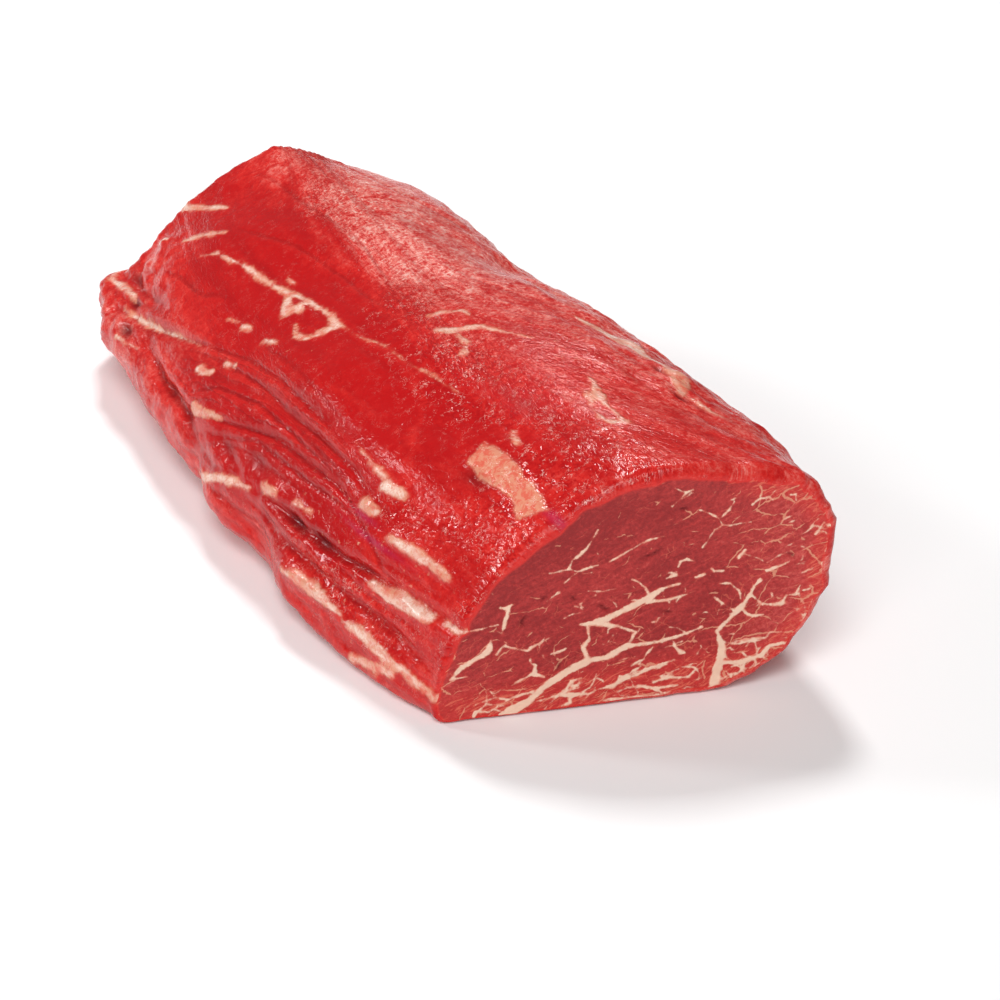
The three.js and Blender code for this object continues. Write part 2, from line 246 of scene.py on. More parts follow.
# --- fat on the skin ------------------------------------------------------------------------------
# Streaks and beads of fat, as [along, girth, half width].
FAT_STREAKS = [
    [(186, 71, 0.4), (180, 76, 0.7), (163, 81, 0.8), (147, 84, 0.7), (138, 87, 1.0)],
    [(138, 87, 0.8), (129, 89.5, 1.0), (119, 91.5, 0.9), (112, 91, 1.5), (113, 86, 1.2)],
    [(112, 92, 0.3), (101, 94, 0.0), (92, 98, 0.1), (80, 99, -0.2), (71, 101.5, 0.1), (55, 104, -0.2)],
    [(150, 90, 0.5), (147, 88.4, 0.4), (143, 89.4, 0.4)],
    [(137, 85, 1.3), (132, 82, 1.9), (129, 85.5, 1.5), (131, 88.6, 1.0)],
    [(124, 82, 0.3), (119, 80.5, 1.1), (114, 82.5, 0.9), (113, 85, 0.5)],
    [(225, 70, 1.3), (214, 77, 1.2), (203, 84, 0.8)],
    [(203, 68, 0.7), (195, 75, 0.6), (187, 81, 0.4)],
    [(217, 61, 1.4), (212, 64, 0.8)],
    [(142, 70, 0.8), (138, 72, 0.4)],
    [(128, 73, 1.0), (123, 75, 0.7)],
    [(150, 68, 0.6), (145, 70, 0.4)],
    [(88, 111.5, 0.6), (85, 114.5, 1.9), (84, 117.6, 1.2), (83, 121, 0.7),
     (78, 123.5, 0.5), (71, 129.2, 0.2)],
    [(82, 114.7, 0.7), (77, 114.6, 1.1), (74, 112.8, 1.0), (73, 110.8, 0.5)],
    [(96, 113, 0.4), (95, 117.6, 0.7), (94, 121.2, 0.5), (90, 121.2, 0.3)],
    [(48, 132.8, 0.6), (43, 131.2, 1.1), (39, 129.4, 1.0), (34, 127.6, 0.6),
     (30, 127, 0.5), (26, 126.4, 0.9)],
    [(41, 127.4, 0.4), (37, 125.7, 0.5), (33, 123.8, 0.5), (29, 122.9, 0.7),
     (26, 123.2, 1.2), (25, 126.2, 1.0)],
    [(52, 157.4, 1.3), (48, 157, 2.4), (44.5, 155, 1.6), (42, 153.4, 0.9)],
    [(44, 71, 1.9), (38, 71.5, 1.3)],
    [(64, 74, 0.2), (52, 73, 0.6), (44, 72, 1.0)],
    [(47, 64, 1.8), (42, 64, 1.3)],
    [(33, 60.5, 0.9), (21, 61, 1.7), (12, 60, 1.2)],
    [(31, 47, 1.4), (24, 47, 2.3), (16, 47.5, 2.3), (10, 48.5, 1.4)],
    [(60, 34, 0.8), (52, 36, 1.9), (44, 35.5, 1.6), (36, 34, 0.8)],
    [(35, 33, 0.8), (26, 33.5, 1.7), (14, 32, 1.3), (6, 30.5, 1.1), (-1, 29, 0.9)],
    [(30, 25, 0.8), (23, 27, 1.3), (15, 29, 0.9)],
    [(124, 26, 0.7), (112, 33, 1.4), (102, 38, 1.2), (95, 41, 1.1), (88, 43, 0.7)],
    [(83, 46.5, 1.6), (78, 47.5, 1.2)],
    [(69, 50, 0.8), (62, 51.5, 0.4)],
    [(143, 53, 1.6), (139, 53.5, 1.5), (137, 56, 0.8)],
    [(135, 60, 0.8), (130, 62, 0.5)],
    [(131, 45, 2.0), (126, 46.5, 1.2), (117, 50, 0.4)],
    [(222, 42, 1.0), (211, 45, 1.3), (201, 47, 0.8)],
    [(200, 42, 0.6), (187, 46, 1.0), (174, 50, 0.7), (160, 55, 0.5), (153, 57, 0.4)],
    [(190, 37, 0.7), (178, 40, 0.4)],
    [(86, 149.0, 0.6), (79, 151.8, 1.8), (70, 155.0, 2.6), (63, 157.0, 1.9), (56, 157.6, 0.8)],
    [(40, 155.5, 0.3), (36, 157, 0.8), (31, 158.5, 0.3)],
    [(6, 49, 0.8), (-2, 50, 0.8)],
    [(36, 104, 0.6), (30, 101, 0.3)],
    [(150, 196, 1.2), (128, 199, 1.6), (104, 204, 0.8)],
    [(90, 208, 1.0), (70, 213, 1.9), (52, 215, 1.2)],
    [(200, 150, 0.9), (184, 158, 0.8), (170, 162, 0.5)],
    [(34, 205, 1.0), (20, 208, 1.2), (4, 209, 0.6)],
]
# The square patch of fat left by the near cut.
FAT_PATCH = [(32, 89), (36, 96), (29, 96.5), (23, 95.5), (14, 93), (5, 89.5), (8, 83), (16, 87), (26, 87)]
# How far the corners where streaks meet are filled.
FAT_FILLET = 0.8

# --- tones of the skin ----------------------------------------------------------------------------
# Paleness from 0, deep red, to 1, pink film: value, [along, girth], half length, half girth.
PALE_ZONES = [
    (0.02, (150, 88), 60, 15),
    (0.04, (70, 92), 45, 13),
    (0.30, (20, 78), 22, 10),
    (0.04, (110, 74), 34, 8),
    (0.00, (62, 56), 34, 9),
    (0.26, (18, 58), 18, 8),
    (0.26, (30, 38), 30, 7),
    (0.24, (40, 24), 46, 9),
    (0.02, (110, 48), 26, 8),
    (0.36, (205, 46), 24, 12),
    (0.80, (208, 57), 9, 5),
    (0.60, (190, 38), 10, 5),
    (0.36, (150, 34), 30, 9),
    (0.30, (205, 62), 18, 8),
    (0.22, (215, 84), 14, 10),
    (0.50, (210, 108), 18, 12),
    (0.84, (150, 124), 34, 14),
    (0.38, (90, 112), 22, 8),
    (0.20, (40, 108), 28, 10),
    (0.42, (60, 132), 28, 12),
    (0.40, (14, 130), 16, 26),
    (0.60, (100, 150), 34, 14),
    (0.62, (190, 150), 24, 14),
    (0.48, (50, 165), 34, 16),
    (0.70, (120, 190), 70, 26),
    (0.55, (30, 205), 40, 22),
]
# The paleness far from every zone, and how weakly it holds against them.
FILM_GROUND = 0.6
FILM_HOLD = 0.02
# Wetness that gives the small glints: value, [along, girth], half length, half girth.
WET_ZONES = [
    (1.0, (60, 107), 50, 13),
    (1.0, (18, 106), 24, 18),
    (0.7, (108, 112), 18, 14),
    (0.9, (10, 78), 14, 16),
    (0.7, (40, 66), 14, 8),
    (0.7, (40, 40), 30, 12),
    (0.5, (170, 108), 30, 8),
    (0.4, (190, 50), 30, 12),
    (0.5, (110, 118), 20, 8),
]
# Small flecks of fat: density, [along, girth], half length, half girth.
FLECK_ZONES = [
    (1.0, (40, 55), 26, 12),
    (0.8, (118, 80), 22, 6),
    (0.6, (70, 128), 30, 16),
    (0.6, (30, 34), 24, 8),
    (0.5, (205, 48), 20, 10),
]
# Faint violet patches of painted iridescent sheen: strength, [along, girth], half length, half girth.
IRIDESCENT_SHEENS = [
    (1.0, (2, 89), 4.0, 1.4),
    (1.0, (37, 57), 12.0, 0.9),
    (1.0, (44, 61), 5.0, 1.0),
]

# --- fat in the near cut --------------------------------------------------------------------------
# Veins on the cut, as [x, z, half width].
VEINS = [
    [(15, -1, 1.6), (18, 1, 1.5), (23, 4, 1.15), (27.5, 8, 1.1), (32.5, 11, 1.15), (38, 14, 1.2)],
    [(38, 14, 1.0), (43, 14.2, 0.8), (48.5, 17, 0.85), (56.5, 17, 0.55), (64, 18.5, 0.45), (68, 20, 0.2)],
    [(64, 18.5, 0.4), (61.5, 20.5, 0.25), (59.5, 21, 0.15)],
    [(36, 25, 0.2), (39.5, 25, 0.8), (43, 25.8, 1.2), (47.5, 27.5, 0.85), (54, 30.5, 1.1), (57, 32.5, 0.6)],
    [(57, 32.5, 0.45), (59, 33, 0.25), (62, 33.5, 0.1)],
    [(53.5, 29.2, 0.7), (58.5, 29.2, 0.35), (62.5, 30, 0.25), (66, 31, 0.15)],
    [(54, 31, 0.7), (53, 33.5, 0.3), (51, 35.5, 0.25), (49.5, 36.5, 0.3)],
    [(41, 24.6, 0.7), (46, 23.2, 0.35), (50.5, 21, 0.25), (49.5, 18.5, 0.4)],
    [(38, 24.5, 0.3), (38.5, 20.5, 0.25), (37, 18, 0.55), (38, 14.5, 0.7)],
    [(3, 13, 0.5), (5.5, 16, 0.7), (11, 19, 0.75), (12.5, 20.5, 1.0), (13, 23, 0.25)],
    [(3, 13, 0.4), (7, 13.2, 0.15)],
    [(15.5, 32.5, 0.3), (17.3, 32, 0.8), (17.3, 30.5, 0.5), (16.5, 27, 0.5), (16, 25, 0.2)],
    [(18.5, 33, 0.2), (17, 32, 0.6)],
    [(6, 26.5, 0.35), (8, 26.8, 0.15), (11, 27, 0.25), (15, 27.6, 0.1)],
    [(17, 21, 0.4), (20.5, 19.5, 0.15), (22.5, 19, 0.3), (25, 20.5, 0.25), (29.5, 22.5, 0.15)],
    [(24.5, 14.5, 0.2), (24.5, 11.5, 0.8), (27, 10.5, 0.25)],
    [(18.5, 9, 0.1), (20, 10, 0.2), (23.5, 11.5, 0.45)],
    [(24, 6.5, 0.6), (21.5, 6, 0.4), (17.5, 5, 0.25), (14.5, 6, 0.2), (12, 5.5, 0.25), (9, 4.5, 0.1)],
    [(14.5, 6, 0.2), (13, 8, 0.15)],
    [(9, 2.5, 0.5), (8, -0.5, 0.2)],
    [(25, 3.5, 0.15), (31, 4.5, 0.3), (34, 4, 0.7), (38, 4, 0.15)],
    [(31, 0.5, 0.7), (33.5, 2, 0.6), (34, 4, 0.4)],
    [(32, 5, 0.3), (34, 8.2, 0.5), (36.5, 9, 0.3)],
    [(41, 4.8, 0.1), (45, 5.5, 0.5), (47.5, 7.3, 0.55), (50.5, 7.5, 0.35),
     (56.5, 10, 0.35), (61, 11, 0.15)],
    [(46, 3.2, 0.1), (49, 4.2, 0.25), (52.5, 4, 0.5), (57, 3, 0.45), (62, 3.4, 0.2)],
    [(38, 0.2, 0.1), (43.5, 1.4, 0.35), (50.5, 1.4, 0.4), (57, 1.2, 0.5), (61, 1.8, 0.2)],
    [(33, 41.5, 0.35), (34, 44, 0.3), (36, 45.5, 0.4), (38, 47.5, 0.2), (40.5, 52, 0.1)],
    [(28, 41, 0.1), (33, 41.5, 0.35), (35.5, 40.5, 0.3), (37.5, 41, 0.35), (40.5, 41.8, 0.1)],
    [(34.5, 40, 0.2), (32, 37.5, 0.1)],
    [(43.5, 42.3, 0.1), (46.5, 44, 0.3), (49, 45.3, 0.3), (51.5, 46.5, 0.25),
     (54, 47.5, 0.5), (58, 48, 0.15)],
    [(36, 31, 0.3), (38, 32.5, 0.2), (40, 33, 0.1)],
    [(36.2, 31, 0.2), (37, 28, 0.15)],
    [(27.5, 33, 0.1), (30.5, 35, 0.2)],
    [(38, 34.5, 0.1), (42, 34, 0.25), (45.5, 34.3, 0.1)],
    [(28.5, 17, 0.1), (30.5, 17.5, 0.35), (32.5, 18.2, 0.15)],
    [(71.6, 2.8, 1.6), (73, 9.5, 1.15), (73.5, 13.5, 1.1), (72, 18, 0.7),
     (76, 22.5, 0.8), (78.5, 25, 0.75)],
    [(78.5, 25, 0.7), (80.5, 28, 0.55), (81.5, 30.5, 0.4), (83, 32, 0.45)],
    [(78, 27, 0.3), (77.5, 29.5, 0.25), (75, 32, 0.3), (72.5, 32.3, 0.2)],
    [(81, 27.5, 0.35), (84, 24.6, 0.35), (87.5, 24.3, 0.4), (89, 24.5, 0.65)],
    [(89, 24.5, 0.4), (90, 26.5, 0.2), (92.5, 26.5, 0.6), (93.5, 29, 0.25)],
    [(93, 26.5, 0.3), (95, 23, 0.25), (95, 19.5, 0.3), (94, 18.4, 0.15)],
    [(78, 24.5, 0.3), (80, 22, 0.3), (82, 21.5, 0.35), (84, 21.7, 0.15)],
    [(74, 14.5, 0.4), (78, 13.6, 0.3), (82, 14.5, 0.35), (85, 14.5, 0.3), (86, 16, 0.3), (91, 15.5, 0.25)],
    [(74, 8.5, 0.6), (78, 8, 0.6), (84, 9.5, 0.65), (86, 12, 0.55), (89.5, 12.5, 0.6), (92.5, 11.7, 0.4)],
    [(82, 8.5, 0.5), (83.5, 5.5, 0.4)],
    [(97, 24, 0.5), (97.5, 21.5, 0.4), (97, 19, 0.3)],
    [(99, 24.5, 0.25), (98.5, 21, 0.25), (95, 15, 0.2), (91, 12, 0.2)],
    [(97, 43.7, 0.45), (98, 45, 0.25), (99, 47, 0.15)],
    [(99, 35, 0.4), (100.8, 36, 0.3), (102, 37.3, 0.4)],
    [(99, 32.5, 0.3), (99.6, 34, 0.3), (100.4, 32.6, 0.3), (101.5, 34, 0.3)],
    [(100, 46, 0.25), (102, 46.5, 0.25)],
    [(100, 42.5, 0.25), (100.5, 40.5, 0.25)],
    [(67.5, 43.5, 0.15), (69, 45.5, 0.3), (70.5, 48.5, 0.4), (72.5, 49.5, 0.4),
     (74.5, 49.2, 0.25), (80, 49.5, 0.1)],
    [(72.5, 49.5, 0.3), (71.5, 51.5, 0.2), (69.5, 53, 0.2), (66.5, 54.5, 0.1)],
    [(72, 51.5, 0.2), (74, 53.5, 0.2), (75.5, 56, 0.1)],
    [(74.5, 56.5, 0.3), (77, 57.2, 0.25)],
    [(80.2, 54.7, 0.4), (82, 56, 0.4), (84.5, 56, 0.3), (85.5, 55.2, 0.25)],
    [(82, 56, 0.25), (82.5, 58, 0.15)],
    [(84.5, 56, 0.3), (86, 58, 0.2)],
    [(90, 56, 0.4), (91.4, 56, 0.35), (91.5, 54.3, 0.3)],
    [(77, 39.5, 0.45), (78.7, 41.2, 0.3)],
    [(79, 40, 0.1), (82, 38.7, 0.2), (83.5, 37.6, 0.2)],
    [(84.5, 34.5, 0.55), (86, 35, 0.4), (88, 35.5, 0.2), (90.5, 36.7, 0.1)],
    [(61.5, 38.5, 0.25), (62, 40, 0.3), (63.5, 40.5, 0.4), (65.5, 39.7, 0.2)],
    [(58.5, 35.5, 0.35), (61, 36.4, 0.25)],
    [(66, 35, 0.5), (68, 35.6, 0.4)],
    [(70, 37, 0.15), (70.7, 36.2, 0.2), (73, 36, 0.3)],
    [(59.5, 56.5, 0.35), (61.5, 58.5, 0.2), (63, 60, 0.3), (64.7, 60.6, 0.15)],
    [(63, 60, 0.15), (60, 61.6, 0.1)],
    [(60.5, 16.5, 0.15), (61, 15, 0.3), (62.5, 13.2, 0.7), (64, 12.6, 0.2)],
    [(51.5, 8, 0.2), (53.5, 9.3, 0.4), (59, 10, 0.25)],
    [(55.5, 5, 0.3), (59.5, 6, 0.35), (65, 5.2, 0.2)],
    [(51.5, 4.5, 0.3), (54, 3.6, 0.5), (58.5, 1.5, 0.3)],
    [(71, 28.5, 0.1), (72.5, 27, 0.2), (76, 24, 0.15)],
]
# Small slits between the muscle bundles of the near cut, sunk in and darkened with painted shade: depth,
# half width, route.
CUT_SLITS = [
    (0.7, 0.45, [(22.2, 29.4), (21.0, 27.2), (21.6, 26.2)]),
    (0.6, 0.4, [(33.6, 33.6), (35.0, 32.2)]),
    (0.7, 0.45, [(41.0, 30.2), (42.4, 28.8), (43.8, 28.2)]),
    (0.5, 0.35, [(51.4, 42.2), (55.0, 43.2), (57.2, 44.6)]),
    (0.5, 0.35, [(90.0, 39.0), (92.0, 37.8)]),
    (0.4, 0.35, [(57.6, 26.0), (60.2, 25.4)]),
    (0.4, 0.35, [(26.0, 33.2), (27.6, 34.4)]),
    (0.4, 0.35, [(61.5, 55.4), (63.4, 55.2)]),
    (0.4, 0.35, [(31.0, 14.6), (30.4, 12.4)]),
]
# The far cut's veins: count, low and high x and z, lengths, half widths, share of tries kept.
FAR_VEINS = [
    (9, (-6, 8), (66, 46), (14, 30), (0.4, 0.8), 1.0),
    (60, (-12, 3), (72, 54), (3, 10), (0.15, 0.4), 0.8),
    (110, (-14, 2), (74, 58), (1, 4), (0.1, 0.3), 0.8),
]
# The slope of the muscle bundles in a cut, in degrees.
SLOPE = 24.0
TWIG_SEED = 11
TWIG_BEND = 0.45
TWIG_TAPER = (0.8, 1.0, 0.6, 0.1)
FAR_VEIN_SEED = 23
VEIN_FILLET = 0.5
# The near cut's vertices are finest where the distance from a vein's edge is between these.
VEIN_MARGIN = (-0.9, 0.55)
# The width in which a cut's rim shows, and how wet the cuts are.
RIM_WIDTH = 12.0
CUT_WETNESS = 0.25

# --- the materials' noises, in waves per metre ----------------------------------------------------
GRIT_SCALE = 1500.0
DAPPLE_SCALE = 1000.0
# Scales of the wet strip's strands, painted white partly as glints.
GLINT_STRAND_SCALE = 640.0
GLINT_STRAND_PATCH_SCALE = 330.0
FLECK_SCALE = 560.0
LAYER_SCALE = 300.0
BLOTCH_SCALE = 230.0
GLOSS_SCALE = 170.0
RIM_SCALE = 300.0
FAT_SCALE = 420.0
FAT_EDGE_SCALE = 360.0
VEIN_EDGE_SCALE = 620.0
FLOOR_SCALE = 6.0
WET_IOR = 1.38

# --- the stage and the photographed view ----------------------------------------------------------
# Lights: name, which power it takes and what share of it, size and place in metres.
LIGHTS = [
    ("key_light", "key", 1.0, 1.5, (-1.10, -1.80, 3.10)),
    ("fill_light", "key", 0.125, 0.9, (-0.75, -1.15, 0.70)),
    ("top_glint_light", "glint", 1.0, 0.22, (0.25, 0.70, 1.15)),
    ("side_glint_light", "glint", 0.35, 0.16, (-0.88, 0.67, 0.62)),
]
FLOOR_HALF = 3.0
FLOOR_DROP = 0.0002
CAMERA_PLACE = (-314.0, -799.0, 555.4)
CAMERA_DOWN = 29.7
CAMERA_HEADING = 22.47
CAMERA_LENS = 144.6
SENSOR = 36.0


# --- small helpers --------------------------------------------------------------------------------
def scaled(x, y, z):
    """Drawing millimetres to the frame's metres."""
    return np.stack([x - ORIGIN[0], y - ORIGIN[1], z], -1) * MILLIMETRE


def capped(value):
    """A value held between 0 and 1."""
    return np.clip(value, 0.0, 1.0)


def ease(share):
    """0 to 1 with soft ends."""
    t = capped(share)
    return t * t * (3.0 - 2.0 * t)


def rising(value, start, reach):
    """0 up to a start, then softly up to 1 over a reach."""
    return ease((value - start) / reach)


def falling(value, end, reach):
    """1, then softly down to 0 at an end over a reach."""
    return ease((end - value) / reach)


def mix(a, b, share):
    """A straight blend."""
    return a + (b - a) * share


def bell(distance):
    """1 at no distance, falling off softly."""
    return np.exp(-(distance**2))


def tapered(share, margin=0.02):
    """Nearly 1 along a route, thinning towards its ends."""
    return np.sqrt(np.sin(np.pi * (margin + (1 - 2 * margin) * share)))


def along(values, share):
    """A smooth curve through evenly spaced values, read at shares from 0 to 1."""
    v = np.asarray(values, float)
    last = len(v) - 1
    place = capped(share) * last
    i = np.minimum(place.astype(int), last - 1)
    t = place - i
    padded = np.concatenate([[2 * v[0] - v[1]], v, [2 * v[-1] - v[-2]]])
    before, start, end, after = padded[i], padded[i + 1], padded[i + 2], padded[i + 3]
    bend = 2 * before - 5 * start + 4 * end - after
    twist = 3 * start - before - 3 * end + after
    return 0.5 * (2 * start + (end - before) * t + bend * t**2 + twist * t**3)


def unevenness(p, q, size_p, size_q, seed, octaves=3):
    """Soft random hills, about -1 to 1, of the given size along and across."""
    total = np.zeros(np.broadcast(p, q).shape)
    reach = 0.0
    for octave in range(octaves):
        lattice = np.random.default_rng(seed + octave).uniform(-1, 1, (HILL_CELLS, HILL_CELLS))
        x = p / size_p * 2**octave + HILL_SHIFT[0] * octave
        y = q / size_q * 2**octave + HILL_SHIFT[1] * octave
        i, j = np.floor(x).astype(int), np.floor(y).astype(int)
        s, t = ease(x - i), ease(y - j)
        i0, i1, j0, j1 = (k % HILL_CELLS for k in (i, i + 1, j, j + 1))
        low = mix(lattice[i0, j0], lattice[i1, j0], s)
        high = mix(lattice[i0, j1], lattice[i1, j1], s)
        weight = 0.5**octave
        total += weight * mix(low, high, t)
        reach += weight
    return total / reach * HILL_GAIN


def route_gap(p, q, route):
    """Distance of places from a route, and the share of the route passed there."""
    best = np.full(p.shape, np.inf)
    share = np.zeros(p.shape)
    pieces = len(route) - 1
    for k in range(pieces):
        (p0, q0), (p1, q1) = route[k], route[k + 1]
        dp, dq = p1 - p0, q1 - q0
        t = capped(((p - p0) * dp + (q - q0) * dq) / (dp * dp + dq * dq))
        distance = np.hypot(p - p0 - t * dp, q - q0 - t * dq)
        nearer = distance < best
        best = np.where(nearer, distance, best)
        share = np.where(nearer, (k + t) / pieces, share)
    return best, share


def blob(p, q, centre, half_p, half_q):
    """A soft round spot, 1 in the middle."""
    spread = ((p - centre[0]) / half_p) ** 2 + ((q - centre[1]) / half_q) ** 2
    return np.exp(-BLOB_FALL * spread)


def strongest(a, g, spots, ground=0.0):
    """The highest of several soft spots and a ground value."""
    value = np.full(a.shape, ground)
    for amount, *spot in spots:
        value = np.maximum(value, amount * blob(a, g, *spot))
    return value


def soft_min(a, b, reach):
    """The lower of two distances, with the corner between them filled."""
    h = capped(0.5 + 0.5 * (b - a) / reach)
    return mix(b, a, h) - reach * h * (1.0 - h)


def streak_gap(p, q, streaks, fillet):
    """Distance from the edge of the nearest tapering streak, negative inside it."""
    gap = np.full(p.shape, FAR_AWAY)
    for streak in streaks:
        points = np.array(streak, float)
        low = points[:, :2].min(0) - STREAK_REACH
        high = points[:, :2].max(0) + STREAK_REACH
        near = (p > low[0]) & (p < high[0]) & (q > low[1]) & (q < high[1])
        if not near.any():
            continue
        distance, share = route_gap(p[near], q[near], points[:, :2].tolist())
        width = np.interp(share, np.linspace(0, 1, len(points)), points[:, 2])
        gap[near] = soft_min(gap[near], distance - width, fillet)
    return gap


def outline_gap(p, q, corners):
    """Distance from a closed outline, negative inside it."""
    distance, _ = route_gap(p, q, corners + corners[:1])
    inside = np.zeros(p.shape, bool)
    for (p0, q0), (p1, q1) in zip(corners, corners[1:] + corners[:1]):
        crosses = (q0 > q) != (q1 > q)
        inside ^= crosses & (p < (p1 - p0) * (q - q0) / (q1 - q0 + 1e-9) + p0)
    return np.where(inside, -distance, distance)


# --- the solid's form -----------------------------------------------------------------------------
def quarter(centre, side, degrees, fullness):
    """x of one quarter of a section, and its rise from the side point as a share."""
    c, s = np.abs(np.cos(np.radians(degrees))), np.abs(np.sin(np.radians(degrees)))
    return centre + (side - centre) * c ** (2 / fullness), s ** (2 / fullness)


def skin_curves(stations, steps=90):
    """x and z of the skin's outline at each station, from the left foot to the right foot."""
    at = {name: along(values, stations)[:, None] for name, values in SECTION.items()}
    turn = np.linspace(0, 90, steps, endpoint=False)[None, :]
    parts = []
    left_foot = at["left_reach"] + LEFT_FOOT
    x, rise = quarter(left_foot, at["left_reach"], 270 - turn, LEFT_UNDER_FULLNESS)
    parts.append((x, at["left_height"] * (1 - rise)))
    x, rise = quarter(at["crown_x"], at["left_reach"], 180 - turn, at["left_fullness"])
    parts.append((x, mix(at["left_height"], at["crown_z"], rise)))
    x, rise = quarter(at["crown_x"], at["right_reach"], 90 - turn, at["right_fullness"])
    parts.append((x, mix(at["right_height"], at["crown_z"], rise)))
    turn = np.linspace(0, 90, steps + 1)[None, :]
    x, rise = quarter(at["right_foot"], at["right_reach"], -turn, at["under_fullness"])
    parts.append((x, at["right_height"] * (1 - rise)))
    return [np.concatenate(lines, 1) for lines in zip(*parts)]


def skin_points(stations, shares):
    """x, z and girth reached at given shares of each station's girth, with the whole girth."""
    x, z = skin_curves(stations)
    steps = np.hypot(np.diff(x, axis=1), np.diff(z, axis=1))
    reached = np.concatenate([np.zeros((len(stations), 1)), np.cumsum(steps, 1)], 1)
    whole = reached[:, -1:]
    px, pz = (
        np.stack([np.interp(shares * whole[i, 0], reached[i], line[i]) for i in range(len(line))])
        for line in (x, z)
    )
    return px, pz, shares[None, :] * whole, whole


def front_plane(x):
    """y of the near cut."""
    return -math.tan(math.radians(FRONT_SKEW)) * x


def back_plane(x):
    """y of the far end's plane."""
    return LENGTH - math.tan(math.radians(BACK_SKEW)) * (x - BACK_PIVOT)


def far_edge(share):
    """How far the far end reaches past its plane, round the section."""
    ragged = 0.7 * unevenness(share * GIRTH, 0 * share, 9.0, 9.0, seed=35)
    return along(BACK_EDGE, share) + ragged * ease(share * 20) * ease((0.75 - share) * 20)


def broad_relief(a, g):
    """The relief that the part's solid has too."""
    height = np.zeros(a.shape)
    for rise, *spot in SWELLS:
        height += rise * blob(a, g, *spot)
    for depth, half_width, route in SEAMS:
        distance, share = route_gap(a, g, route)
        height -= depth * tapered(share, 0.03) * bell(1.5 * distance / half_width)
    for rise, half_width, route in FAT_PADS:
        distance, _ = route_gap(a, g, route)
        height += rise * (1 - ease((distance / half_width - 0.55) / 0.6))
    for rise, wave_along, wave_round, phase in UNEVENNESS:
        turns = a / wave_along + g / wave_round
        height += rise * np.sin(2 * np.pi * turns + phase)
    return height


# --- the finer form -------------------------------------------------------------------------------
def grain_places(a, g):
    """Places measured along and across the fibres, which run aslant over the pale film."""
    slant = 0.5 * rising(g, 104, 22) - 0.12 * falling(g, 80, 20)
    wander = 2.5 * np.sin(a / 31.0 + g / 40.0)
    return a - 0.4 * slant * g, g + slant * a + wander


def fan_layers(a, g):
    """Layers counted across the fan of folds, how strongly they show, and the fan's lower edge."""
    spine_along, spine_girth = zip(*FAN_SPINE[::-1])
    spine = np.interp(a, spine_along, spine_girth)
    spread = mix(0.4, 1.0, rising(a, 44, 75))
    across = (g - spine) / spread
    count = across / FAN_LAYER + 0.9 * unevenness(a, g, 36.0, 8.0, seed=21)
    shows = rising(a, 38, 14) * falling(a, 172, 40)
    shows = shows * rising(across, -15, 4) * falling(across, 11, 6)
    return count, shows, spine - 15 * spread


def layers(a, g):
    """Thin overlapping layers of the left flank: their count, and how strongly they show."""
    count, shows, fan_edge = fan_layers(a, g)
    top = mix(np.minimum(50.0, fan_edge - 1.0), 60.0, rising(a, 165, 15))
    strip_count = (g + 0.04 * a) / STRIP_LAYER + 0.55 * unevenness(a, g, 24.0, 9.0, seed=25)
    patchy = capped(0.6 + 0.7 * unevenness(a, g, 20.0, 8.0, seed=27))
    strip_shows = 0.5 * rising(g, 10, 8) * falling(g, top, 6) * patchy
    return np.where(shows > strip_shows, count, strip_count), np.maximum(shows, strip_shows)


def folds(a, g):
    """The folds: distance from the nearest, its shade, the pale layer below it and the relief."""
    g = g + 0.5 * unevenness(a, g, 16.0, 7.0, seed=29)
    nearest = np.full(a.shape, 6.0)
    shade, pale, rise = np.zeros(a.shape), np.zeros(a.shape), np.zeros(a.shape)
    for depth, dark, light, route in FOLDS:
        distance, share = route_gap(a, g, route)
        fade = tapered(share)
        line_along, line_girth = zip(*route[::-1])
        below = ease(0.5 + (np.interp(a, line_along, line_girth) - g) / 1.6)
        pale = np.maximum(pale, light * fade * below * bell((distance - 1.3) / 1.4))
        shade = np.where(distance < nearest, dark * fade, shade)
        nearest = np.minimum(nearest, distance)
        rise -= depth * fade * bell(distance / 0.9)
        rise += 0.7 * depth * fade * below * bell((distance - 2.0) / 1.7)
    return nearest, shade, pale, rise


def flank_roughness(a, g):
    """How lumpy the skin is: most on the trimmed left flank, least on the knife-smooth band."""
    flank = falling(g, 58, 20) * (1 - 0.5 * rising(g, 46, 6) * falling(a, 130, 30))
    ridge = 0.55 * rising(g, 140, 20)
    far_end = 0.4 * rising(a, 190, 24)
    return capped(0.10 + flank + ridge + far_end)


